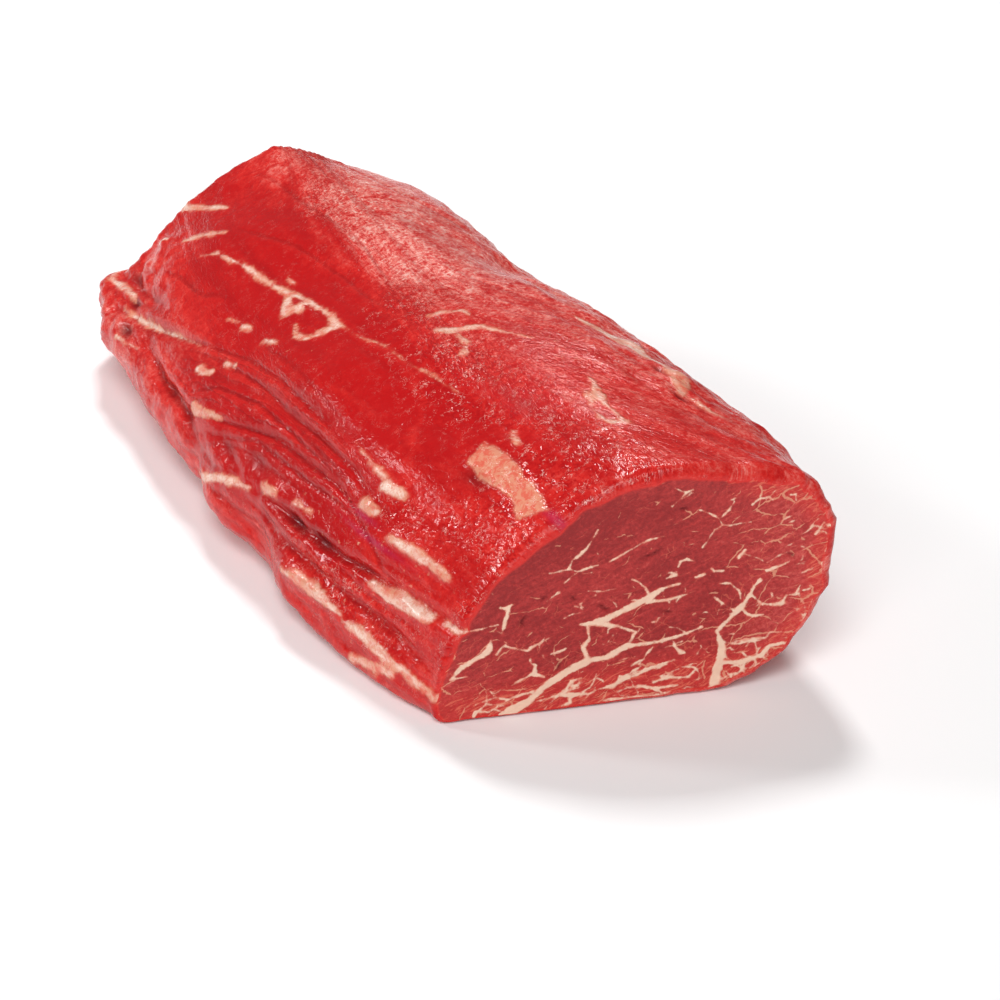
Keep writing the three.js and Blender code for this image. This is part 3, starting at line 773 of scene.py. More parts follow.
def fine_relief(a, g, settings):
    """Folds, layers, lumps and dents too fine for the part's solid."""
    fibres = grain_places(a, g)
    wander = 1.0 + 0.5 * unevenness(a, g, 9.0, 5.0, seed=3)
    height = folds(a, g)[3]
    for depth, half_width, route in FINE_SEAMS:
        distance, share = route_gap(a, g, route)
        height -= depth * tapered(share) * wander * bell(1.3 * distance / half_width)
    for depth, *spot in DENTS:
        height -= depth * blob(a, g, *spot)
    count, shows = layers(a, g)
    height += LAYER_RISE * shows * (0.5 - (count - np.floor(count)))
    knobs = np.abs(unevenness(a, g, 24.0, 14.0, seed=57))
    ridge = rising(g, 134, 14) * falling(g, 200, 12)
    height += ridge * 0.9 * knobs * unevenness(a, g, 15.0, 8.0, seed=47, octaves=2)
    where = {
        "everywhere": 1.0,
        "rough": flank_roughness(a, g),
        "ridge": ridge,
        "trimmed": rising(a, 178, 20) * falling(g, 74, 14),
        "wet": wetness(a, g) * rising(g, 86, 10) * falling(g, 136, 10),
        "lip": bell((a - 3.0) / 2.6) * rising(g, 60, 40) * falling(g, 190, 30),
    }
    for spot, rise, size_along, size_across, seed in LUMPS:
        height += where[spot] * rise * unevenness(a, g, size_along, size_across, seed)
    for spot, rise, size_along, size_across, seed in FIBRE_LUMPS:
        height += where[spot] * rise * unevenness(*fibres, size_along, size_across, seed)
    height += LIP_RISE * where["lip"]
    height -= SADDLE[0] * blob(a, g, *SADDLE[1:])
    return settings.fold_depth * height


def bottom_notches(x, a):
    """Small bites in the bottom edge of the near cut."""
    bite = capped(unevenness(x, 0 * x, 7.0, 9.0, seed=33))
    return 0.9 * bite * falling(a, 5.0, 5.0)


# --- the skin's marks -----------------------------------------------------------------------------
def fat_gap(a, g):
    """Distance from the nearest fat on the skin, negative inside it."""
    gap = streak_gap(a, g, FAT_STREAKS, FAT_FILLET)
    gap = soft_min(gap, outline_gap(a, g, FAT_PATCH), 0.6)
    fine = unevenness(a, g, 3.0, 2.2, seed=51)
    return gap + 0.45 * fine + 0.60 * unevenness(a, g, 8.0, 5.0, seed=52)


def fat_whiteness(a, g):
    """1 in the thick white middles of the streaks, little on the flat patch by the cut; their white is
    partly painted highlight.
    """
    patch = falling(outline_gap(a, g, FAT_PATCH), -1.0, 2.0)
    thick = falling(streak_gap(a, g, FAT_STREAKS, FAT_FILLET), 0.2, 0.9)
    patchy = capped(0.8 + unevenness(a, g, 4.0, 3.0, seed=55))
    return thick * (1.0 - 0.6 * patch) * patchy


def paleness(a, g):
    """0 on the deep red band, 1 on the pale film, with a ragged border."""
    p, q = grain_places(a, g)
    ragged = g + 4.0 * unevenness(p, q, 18.0, 5.0, seed=61)
    total = np.full(a.shape, FILM_HOLD * FILM_GROUND)
    weight = np.full(a.shape, FILM_HOLD)
    for value, *spot in PALE_ZONES:
        pull = blob(a, ragged, *spot)
        total += pull * value
        weight += pull
    value = total / weight
    value += 0.12 * unevenness(p, q, 16.0, 4.0, seed=63) * (0.3 + value)
    value += 0.06 * unevenness(a, g, 6.0, 5.0, seed=64)
    return capped(value)


def wetness(a, g):
    """1 where the wet surface glints most."""
    value = strongest(a, g, WET_ZONES, ground=0.12)
    lip = falling(a, 7, 6) * rising(g, 20, 20)
    value = np.maximum(value, lip * mix(0.9, 0.1, rising(g, 112, 14)))
    patchy = 1.0 + 0.8 * unevenness(a, g, 11.0, 7.0, seed=71)
    return capped(value * patchy)


def fibrousness(a, g):
    """1 where the pale film shows its fibres, little on the smooth band and the flank."""
    film = rising(g, 98, 16)
    return 0.10 + 0.75 * film * (1.0 - 0.45 * falling(a, 80, 50))


def crevices(a, g):
    """1 in the bottom of the seams and dents, for their shade."""
    value = 0.9 * strongest(a, g, DENTS)
    patchy = 0.75 + 0.4 * unevenness(a, g, 9.0, 5.0, seed=3)
    for depth, half_width, route in SEAMS + FINE_SEAMS:
        distance, share = route_gap(a, g, route)
        dark = 0.45 * depth * tapered(share) * patchy
        value = np.maximum(value, dark * bell(1.3 * distance / min(half_width, 1.2)))
    return capped(value)


# --- the cuts' marbling ---------------------------------------------------------------------------
def cut_grain(x, z):
    """Places along and across the muscle bundles, which slope up to the right."""
    slope = math.radians(SLOPE)
    p = x * math.cos(slope) + z * math.sin(slope)
    q = z * math.cos(slope) - x * math.sin(slope)
    p += 1.5 * unevenness(x, z, 30.0, 22.0, seed=31)
    q += 3.2 * unevenness(x, z, 26.0, 18.0, seed=32)
    return p, q


def twigs(rng, count, low, high, length, half_width, chance):
    """Wavy tapering side veins scattered by a rule, mostly in line with the muscle bundles."""
    made = []
    while len(made) < count:
        x, z = rng.uniform(low[0], high[0]), rng.uniform(low[1], high[1])
        if rng.uniform() > chance(x, z):
            continue
        turn = math.radians(SLOPE) + rng.normal(0, TWIG_BEND)
        width = rng.uniform(*half_width)
        stride = rng.uniform(*length) / len(TWIG_TAPER)
        points = [(x, z, 0.3 * width)]
        for taper in TWIG_TAPER:
            turn += rng.normal(0, TWIG_BEND)
            x, z = x + stride * math.cos(turn), z + stride * math.sin(turn)
            points.append((x, z, taper * width))
        made.append(points)
    return made


def near_veins():
    """The near cut's veins with their side veins: long thin ones low down, flecks higher up."""
    rng = np.random.default_rng(TWIG_SEED)
    made = twigs(
        rng, 44, (8, 0), (84, 16), (4, 10), (0.06, 0.26),
        chance=lambda x, z: 1.0 if z < 4 + 0.14 * x else 0,
    )
    made += twigs(
        rng, 44, (6, 4), (96, 60), (2, 6), (0.04, 0.2),
        chance=lambda x, z: 0.9 if z < 34 else 0.1,
    )
    made += twigs(rng, 26, (84, 8), (99, 54), (2, 6), (0.06, 0.26), chance=lambda x, z: 1.0)
    return VEINS + made


def far_veins():
    """The far cut's veins, grown by a rule: a few trunks, then side veins."""
    rng = np.random.default_rng(FAR_VEIN_SEED)
    made = []
    for count, low, high, length, half_width, share in FAR_VEINS:
        made += twigs(rng, count, low, high, length, half_width, chance=lambda x, z: share)
    return made


def web_density(x, z):
    """How thickly the finest veins net a cut: least at its upper left."""
    low = falling(z, 34, 20)
    right = rising(x, 66, 20)
    upper_left = falling(x, 52, 30) * rising(z, 30, 12)
    return capped(0.35 + 0.50 * low + 0.65 * right - 0.2 * upper_left)


def margin_strokes(x, z, rim):
    """Where short wavy strokes of fat line the cut's lower and right margins."""
    low = ease((13 - z + 0.05 * x) / 9)
    right = falling(rim, 6, 4) * rising(x, 70, 14)
    return capped(low + right)


# --- the mesh -------------------------------------------------------------------------------------
def girth_shares(step):
    """Shares of the girth with a line of vertices: fine where it shows, coarser beneath."""
    shares = [0.0]
    start = 0.0
    for end, coarseness in GIRTH_STRETCHES:
        count = max(int(round((end - start) * GIRTH / (step * coarseness))), 1)
        shares += [mix(start, end, i / count) for i in range(1, count + 1)]
        start = end
    return np.array(shares)


def body_grid(settings):
    """The skin and the flat underside as a grid of loops, with each vertex's place on the skin."""
    step = settings.skin_step / MILLIMETRE
    shares = girth_shares(step)
    rows = int(LENGTH / (step * ROW_STRETCH))
    stations = np.linspace(FRONT_LIP / LENGTH, 1 - BACK_LIP / LENGTH, rows + 1)
    x, z, girth, whole = skin_points(stations, shares)
    cross = np.linspace(0, 1, UNDER_STEPS + 1)[None, 1:-1]
    flat = np.zeros((len(stations), UNDER_STEPS - 1))
    x = np.concatenate([x, mix(x[:, -1:], x[:, :1], cross)], 1)
    z = np.concatenate([z, flat], 1)
    g = np.concatenate([girth, mix(whole, 0 * whole, cross)], 1)
    room = np.concatenate([np.minimum(girth, whole - girth), flat], 1)
    edge_share = np.concatenate([shares, flat[0]])
    rim = back_plane(x) + far_edge(edge_share)[None, :]
    y = mix(front_plane(x), rim, stations[:, None])
    plain = np.stack([x, y, z], -1)
    lengthwise = np.gradient(plain, axis=0)
    crosswise = np.roll(plain, -1, 1) - np.roll(plain, 1, 1)
    normal = np.cross(crosswise, lengthwise)
    normal /= np.linalg.norm(normal, axis=-1, keepdims=True)
    a = np.broadcast_to(stations[:, None] * LENGTH, g.shape)
    rise = (broad_relief(a, g) + fine_relief(a, g, settings)) * ease(room / FOOT_FADE)
    raised = plain + normal * rise[..., None]
    raised[..., 2] = np.maximum(raised[..., 2], bottom_notches(x, a))
    return raised, a, g, edge_share


def inset(points, centre, distance):
    """Points moved towards a middle line by a distance, within their sections."""
    towards = np.array(centre)[None, :] - points[:, [0, 2]]
    towards *= (distance / np.linalg.norm(towards, axis=1))[:, None]
    moved = points.copy()
    moved[:, [0, 2]] += towards
    return moved


def lip_rings(rim, plane, radius, direction, centre):
    """The rings of one soft edge, from the skin to the cut."""
    rings = []
    for step in range(1, LIP_STEPS + 1):
        turn = math.pi / 2 * step / LIP_STEPS
        ring = inset(rim, centre, radius * (1 - math.cos(turn)))
        ring[:, 1] = plane(ring[:, 0]) + direction * radius * (1 - math.sin(turn))
        rings.append(ring)
    return rings


def cut_outline(ring):
    """A ring's corners as x and z, for outline_gap()."""
    return [tuple(corner) for corner in ring[:, [0, 2]]]


def cut_triangles(ring, step, veins):
    """Triangles over the near cut, finer by the veins: points in x and z, and their faces."""
    count = len(ring)
    outline = ring[:, [0, 2]]
    low, high = outline.min(0), outline.max(0)
    row_step = TRIANGLE_HEIGHT * step
    rows = np.arange(int((high[1] - low[1]) / row_step))
    columns = np.arange(int((high[0] - low[0]) / step))
    i, k = np.meshgrid(columns, rows)
    px = (low[0] + (i + 0.5 * (k % 2)) * step).ravel()
    pz = (low[1] + k * row_step).ravel()
    coarse = ((k % 2 == 0) & ((i + k // 2) % 2 == 0)).ravel()
    rim = -outline_gap(px, pz, cut_outline(ring))
    gap = streak_gap(px, pz, veins, VEIN_FILLET)
    by_vein = (gap > VEIN_MARGIN[0]) & (gap < VEIN_MARGIN[1])
    keep = (rim > 1.2 * step) & (coarse | by_vein)
    points = np.concatenate([outline, np.stack([px[keep], pz[keep]], -1)])
    edges = [(n, (n + 1) % count) for n in range(count)]
    made = geometry.delaunay_2d_cdt([Vector(c) for c in points], edges, [], 1, 1e-5)
    if len(made[0]) != len(points):
        raise RuntimeError("the near cut's points were merged or split")
    return points, made[2]


def ring_faces(upper, lower, count):
    """Quads between two loops given by their first vertex."""
    now = np.arange(count)
    after = (now + 1) % count
    return np.stack([upper + now, lower + now, lower + after, upper + after], -1)


def far_rings(rim, bulge):
    """The far end: its soft edge, then shrinking rings over the cut."""
    radius = np.full(len(rim), BACK_LIP)
    rings = lip_rings(rim, lambda x: back_plane(x) + bulge, radius, -1, BACK_CENTRE)
    edge = rings[-1]
    for size in np.linspace(1, 0, FAR_RINGS + 2)[1:-1]:
        ring = edge.copy()
        ring[:, 0] = mix(BACK_CENTRE[0], edge[:, 0], size)
        ring[:, 2] = mix(BACK_CENTRE[1], edge[:, 2], size)
        ring[:, 1] = back_plane(ring[:, 0]) + bulge * ease(size)
        rings.append(ring)
    return rings


def meat_mesh(settings):
    """The whole roast: one closed mesh with its masks as vertex attributes."""
    raised, a, g, edge_share = body_grid(settings)
    count = raised.shape[1]
    uneven_lip = unevenness(edge_share * GIRTH, 0 * edge_share, 11.0, 9.0, seed=36)
    lip_radius = along(FRONT_LIP_ROUND, edge_share) * (1.0 + 0.45 * uneven_lip)
    near_lip = lip_rings(raised[0], front_plane, lip_radius, 1, FRONT_CENTRE)
    far = far_rings(raised[-1], far_edge(edge_share))
    loops = np.concatenate([np.array(far)[::-1], raised[::-1], np.array(near_lip)])
    veins = near_veins()
    step = settings.cut_step / MILLIMETRE
    cut_points, cut_faces = cut_triangles(near_lip[-1], step, veins)
    inner = cut_points[count:]
    inner = np.stack([inner[:, 0], front_plane(inner[:, 0]), inner[:, 1]], -1)
    far_middle = np.array([[BACK_CENTRE[0], back_plane(BACK_CENTRE[0]), BACK_CENTRE[1]]])
    places = np.concatenate([loops.reshape(-1, 3), inner, far_middle])

    last_loop = (len(loops) - 1) * count
    far_index = len(places) - 1
    starts = range(0, last_loop, count)
    quads = np.concatenate([ring_faces(start, start + count, count) for start in starts])
    fan = [[far_index, i, (i + 1) % count] for i in range(count)]
    caps = [[last_loop + i for i in face] for face in cut_faces]
    faces = quads.tolist() + fan + caps
    on_cut = np.ones(len(faces), int)
    on_cut[FAR_RINGS * count : len(quads)] = 0

    marks = skin_marks(len(loops), len(far), a, g)
    tail = np.zeros(len(inner) + 1)
    marks = {name: np.append(values.ravel(), tail) for name, values in marks.items()}
    near = np.zeros(len(places), bool)
    near[last_loop - count : far_index] = True
    mark_cut(marks, places, near, near_lip[-1], veins)
    beyond = np.zeros(len(places), bool)
    beyond[: (FAR_RINGS + 2) * count] = True
    beyond[far_index] = True
    mark_cut(marks, places, beyond, far[LIP_STEPS - 1], far_veins())
    roughen_cut(places, marks, near, 1.0)
    cut_slits(places, marks, near)
    roughen_cut(places, marks, beyond, -1.0)
    return places, faces, on_cut, marks


def skin_marks(loop_count, far_count, a, g):
    """The skin's masks on the grid of loops, carried over the soft edges from the nearest row."""
    last = len(a) - 1
    row = np.arange(loop_count) - far_count
    order = np.clip(row, 0, last)
    past_near = np.maximum(row - last, 0) * FRONT_LIP / LIP_STEPS
    past_far = np.maximum(-row, 0) * BACK_LIP / LIP_STEPS
    a = a[::-1][order] - past_near[:, None]
    g = g[::-1][order]
    room = np.minimum(a, LENGTH - a - past_far[:, None])
    p, q = grain_places(a, g)
    count, shows = layers(a, g)
    fold_gap, fold_shade, fold_pale, _ = folds(a, g)
    marks = {
        "grain_along": p,
        "grain_across": q,
        "fold_gap": fold_gap,
        "fold_shade": fold_shade,
        "fold_pale": fold_pale,
        "fibrous": fibrousness(a, g),
        "paleness": paleness(a, g),
        "wetness": wetness(a, g),
        "crevice_shade": crevices(a, g),
        "fat_gap": fat_gap(a, g),
        "fat_white_and_highlight": fat_whiteness(a, g),
        "fleck": strongest(a, g, FLECK_ZONES),
        "iridescent_sheen": strongest(a, g, IRIDESCENT_SHEENS),
        "layer": count,
        "layer_depth": shows,
        "rim_gap": -np.clip(room, 0, RIM_WIDTH),
        "vein_gap": np.full(a.shape, FAR_AWAY),
    }
    for name in ("cut_along", "cut_across", "tone", "web", "strokes"):
        marks[name] = np.zeros(a.shape)
    return marks


def mark_cut(marks, places, face, ring, veins):
    """Fills in the masks of one cut face."""
    x, z = places[face, 0], places[face, 2]
    rim = -outline_gap(x, z, cut_outline(ring))
    uneven_vein = 0.26 * unevenness(x, z, 3.4, 2.4, seed=81)
    low, right = falling(z, 30, 26), rising(x, 66, 26)
    upper_left = rising(z, 34, 16) * falling(x, 56, 24)
    uneven_tone = 0.35 * unevenness(x, z, 15.0, 9.0, seed=91)
    marks["rim_gap"][face] = np.clip(rim, -2, RIM_WIDTH)
    marks["vein_gap"][face] = streak_gap(x, z, veins, VEIN_FILLET) + 0.05 + uneven_vein
    marks["cut_along"][face], marks["cut_across"][face] = cut_grain(x, z)
    marks["tone"][face] = 0.45 * low + 0.8 * right - 0.25 * upper_left + uneven_tone
    marks["web"][face] = web_density(x, z)
    marks["strokes"][face] = margin_strokes(x, z, rim)
    marks["wetness"][face] = CUT_WETNESS
    marks["crevice_shade"][face] = 0.0


def push_in(places, marks, face, depth):
    """Moves a cut face's places in by a depth, less so at its rim."""
    places[face, 1] += depth * ease(marks["rim_gap"][face] / 4.0)


def roughen_cut(places, marks, face, inward):
    """Gives a cut face its slight unevenness."""
    p, q = marks["cut_along"][face], marks["cut_across"][face]
    bundles = unevenness(p, q, 16.0, 5.0, seed=95)
    fibres = unevenness(p, q, 3.5, 1.6, seed=96)
    push_in(places, marks, face, inward * 0.20 * (bundles + 0.4 * fibres + 1.0))


def cut_slits(places, marks, face):
    """Sinks the small slits into the near cut and marks them for painted shade."""
    x, z = places[face, 0], places[face, 2]
    for depth, half_width, route in CUT_SLITS:
        distance, share = route_gap(x, z, route)
        slit = tapered(share, 0.05) * bell(distance / half_width)
        marks["crevice_shade"][face] = np.maximum(marks["crevice_shade"][face], slit)
        push_in(places, marks, face, depth * slit)


def fit_to_box(places):
    """The finished surface brought just inside the part's own box, by a fraction of a millimetre."""
    low, high = (np.array(corner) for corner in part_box(NODE))
    own_low, own_high = places.min(0), places.max(0)
    share = (places - own_low) / (own_high - own_low)
    return low + share * (high - low)


# --- nodes ----------------------------------------------------------------------------------------
NODE_SPACING = 180
# The colour sockets of a mix node.
MIX_SHARE, MIX_UNDER, MIX_OVER, MIX_RESULT = 0, 6, 7, 2


class Wiring:
    """Short calls for adding and joining the nodes of one tree."""

    def __init__(self, tree):
        self.tree = tree
        self.count = 0

    def node(self, kind, values=None, **settings):
        """Adds a node, sets its options, and sets or joins its inputs."""
        made = self.tree.nodes.new(kind)
        self.count += 1
        made.location = (self.count * NODE_SPACING, 0)
        for name, value in settings.items():
            setattr(made, name, value)
        for name, value in (values or {}).items():
            self.feed(made.inputs[name], value)
        return made

    def feed(self, target, value):
        """Joins a socket to another, or gives it a plain value."""
        if isinstance(value, bpy.types.NodeSocket):
            self.tree.links.new(value, target)
        else:
            target.default_value = value

    def mark(self, name):
        """A vertex attribute's value."""
        return self.node("ShaderNodeAttribute", attribute_name=name).outputs["Fac"]

    def math(self, operation, a, b=0.0, clamp=False):
        """One arithmetic step."""
        made = self.node("ShaderNodeMath", operation=operation, use_clamp=clamp)
        self.feed(made.inputs[0], a)
        self.feed(made.inputs[1], b)
        return made.outputs[0]

    def times(self, a, b):
        """One value times another."""
        return self.math("MULTIPLY", a, b)

    def plus(self, a, b):
        """Two values added."""
        return self.math("ADD", a, b)

    def minus(self, a, b):
        """One value less another."""
        return self.math("SUBTRACT", a, b)

    def larger(self, a, b):
        """The larger of two values."""
        return self.math("MAXIMUM", a, b)

    def weighted(self, *terms):
        """The sum of values, each with its weight."""
        total = 0.0
        for value, weight in terms:
            total = self.plus(self.times(value, weight), total)
        return total

    def ramp(self, value, low, high, to_low=0.0, to_high=1.0):
        """A smooth step between two values."""
        values = {"Value": value, "From Min": low, "From Max": high}
        values |= {"To Min": to_low, "To Max": to_high}
        made = self.node("ShaderNodeMapRange", values, interpolation_type="SMOOTHSTEP")
        return made.outputs["Result"]

    def over(self, under, colour, mask, strength=1.0):
        """A colour laid over another where a mask says so."""
        made = self.node("ShaderNodeMix", data_type="RGBA")
        self.feed(made.inputs[MIX_SHARE], mask if strength == 1.0 else self.times(mask, strength))
        self.feed(made.inputs[MIX_UNDER], under)
        self.feed(made.inputs[MIX_OVER], colour)
        return made.outputs[MIX_RESULT]

    def noise(self, vector, scale=1.0, detail=2.0, roughness=0.6, distortion=0.0):
        """Noise from 0 to 1."""
        values = {"Vector": vector, "Scale": scale, "Detail": detail}
        values |= {"Roughness": roughness, "Distortion": distortion}
        return self.node("ShaderNodeTexNoise", values).outputs["Fac"]

    def ripple(self, *place, **settings):
        """Noise from -0.5 to 0.5."""
        return self.minus(self.noise(*place, **settings), 0.5)

    def lines(self, ripple, half_width):
        """1 along thin lines, where a ripple passes through nothing."""
        return self.ramp(self.math("ABSOLUTE", ripple), 0.0, half_width, 1.0, 0.0)

    def vector(self, operation, a, b):
        """One step of vector arithmetic."""
        made = self.node("ShaderNodeVectorMath", operation=operation)
        self.feed(made.inputs[0], a)
        self.feed(made.inputs[1], b)
        return made.outputs[0]

    def stretched(self, vector, along, across):
        """A place on the skin or a cut with each part scaled."""
        return self.vector("MULTIPLY", vector, (along, across, 1.0))

    def grain(self, surface):
        """The place along and across the fibres of the skin or a cut, in millimetres."""
        values = {"X": self.mark(surface + "_along"), "Y": self.mark(surface + "_across")}
        return self.node("ShaderNodeCombineXYZ", values).outputs[0]

    def place(self):
        """Places in the object's own metres."""
        return self.node("ShaderNodeTexCoord").outputs["Object"]

    def group(self, tree, values):
        """Places a node group."""
        return self.node("ShaderNodeGroup", values, node_tree=tree).outputs


def new_group(name, inputs, outputs):
    """A node group and its ends. Each socket is given by its default or by the name of its kind."""
    tree = bpy.data.node_groups.new(name, "ShaderNodeTree")
    for side, sockets in (("INPUT", inputs), ("OUTPUT", outputs)):
        for title, given in sockets.items():
            kind = given if isinstance(given, str) else "Float"
            made = tree.interface.new_socket(
                name=title, in_out=side, socket_type="NodeSocket" + kind
            )
            if given != kind:
                made.default_value = given
    w = Wiring(tree)
    return tree, w, w.node("NodeGroupInput").outputs, w.node("NodeGroupOutput").inputs


def fibre_group():
    """Streaks along the fibres: fine threads and broader bundles."""
    inputs = {"Grain": "Vector", "Fibre Length": 6.0, "Fibre Width": 0.5}
    outputs = {"Threads": "Float", "Bundles": "Float"}
    tree, w, ins, outs = new_group("meat_fibres", inputs, outputs)
    inverse = {
        "X": w.math("DIVIDE", 1.0, ins["Fibre Length"]),
        "Y": w.math("DIVIDE", 1.0, ins["Fibre Width"]),
    }
    factors = w.node("ShaderNodeCombineXYZ", inverse).outputs[0]
    placed = w.vector("MULTIPLY", ins["Grain"], factors)
    threads = w.ripple(placed, detail=4.0, roughness=0.65, distortion=0.8)
    coarser = w.stretched(placed, 0.4, 0.25)
    w.feed(outs["Threads"], threads)
    w.feed(outs["Bundles"], w.ripple(coarser, roughness=0.5, distortion=0.3))
    return tree


def edge_group():
    """A mask from a distance in millimetres, with an edge that wobbles at a given scale."""
    inputs = {
        "Gap": "Float", "Place": "Vector", "Wobble": 0.4, "Wobble Scale": 900.0, "Softness": 0.3,
    }
    tree, w, ins, outs = new_group("meat_soft_edge", inputs, {"Mask": "Float"})
    wander = w.ripple(ins["Place"], ins["Wobble Scale"], detail=3.0)
    shifted = w.plus(ins["Gap"], w.times(wander, ins["Wobble"]))
    inside = w.times(ins["Softness"], -1.0)
    w.feed(outs["Mask"], w.ramp(shifted, inside, ins["Softness"], 1.0, 0.0))
    return tree


def moisture_group():
    """The wet surface: its relief in millimetres, beaded where it is wettest, and its gloss."""
    inputs = {"Place": "Vector", "Grain": "Vector", "Wetness": 0.3, "Grit": 0.5}
    outputs = {"Height": "Float", "Roughness": "Float", "Mottle": "Float"}
    tree, w, ins, outs = new_group("meat_moisture", inputs, outputs)
    fine = w.ripple(ins["Place"], GRIT_SCALE, detail=3.0, roughness=0.7)
    beads = w.stretched(ins["Grain"], 0.46, 0.56)
    beads = w.ripple(beads, detail=1.0, roughness=0.45, distortion=0.9)
    lumps = w.times(beads, w.plus(w.times(ins["Wetness"], 0.26), 0.20))
    dry = w.math("SUBTRACT", 1.0, ins["Wetness"], clamp=True)
    gritty = w.times(fine, w.times(ins["Grit"], dry))
    patches = w.noise(ins["Place"], GLOSS_SCALE, roughness=0.5)
    rough = w.ramp(patches, 0.3, 0.7, 0.16, 0.24)
    gloss = w.times(ins["Wetness"], 0.07)
    w.feed(outs["Height"], w.plus(lumps, gritty))
    w.feed(outs["Roughness"], w.math("SUBTRACT", rough, gloss, clamp=True))
    w.feed(outs["Mottle"], w.plus(fine, w.times(beads, 0.7)))
    return tree


def fat_group():
    """Fat's own colour: cream with pinker, thinner places."""
    inputs = {"Place": "Vector", "Cream": "Color", "Pink": "Color", "Pinkness": 0.5}
    tree, w, ins, outs = new_group("meat_fat_tone", inputs, {"Colour": "Color"})
    coarse = w.noise(ins["Place"], FAT_SCALE, detail=4.0, roughness=0.7, distortion=0.8)
    share = w.math("MULTIPLY", w.ramp(coarse, 0.44, 0.60), ins["Pinkness"], clamp=True)
    w.feed(outs["Colour"], w.over(ins["Cream"], ins["Pink"], share))
    return tree


# --- materials ------------------------------------------------------------------------------------
def new_material(name, specular):
    """A wet surface's material, with the values that are the same all over set on its shader."""
    material = bpy.data.materials.new(name)
    material.use_nodes = True
    shader = material.node_tree.nodes["Principled BSDF"]
    shader.inputs["IOR"].default_value = WET_IOR
    shader.inputs["Specular IOR Level"].default_value = specular
    return material, shader, Wiring(material.node_tree)


def finish_surface(w, shader, colour, roughness, height):
    """Feeds a shader its colour, its roughness and its relief in millimetres."""
    bump = w.node("ShaderNodeBump", {"Strength": 1.0, "Distance": MILLIMETRE, "Height": height})
    w.feed(shader.inputs["Base Color"], colour)
    w.feed(shader.inputs["Roughness"], roughness)
    w.feed(shader.inputs["Normal"], bump.outputs["Normal"])


def layer_lines(w, place):
    """The flank's thin layers: the shade under each edge, the pale edge, and the relief."""
    stir = w.ripple(place, LAYER_SCALE, detail=3.0)
    part = w.math("FRACT", w.plus(w.mark("layer"), w.times(stir, 0.6)))
    shows = w.mark("layer_depth")
    shade = w.times(w.ramp(part, 0.72, 0.99), shows)
    edge = w.times(w.ramp(part, 0.0, 0.35, 1.0, 0.0), shows)
    return shade, edge, w.times(w.minus(0.5, part), shows)


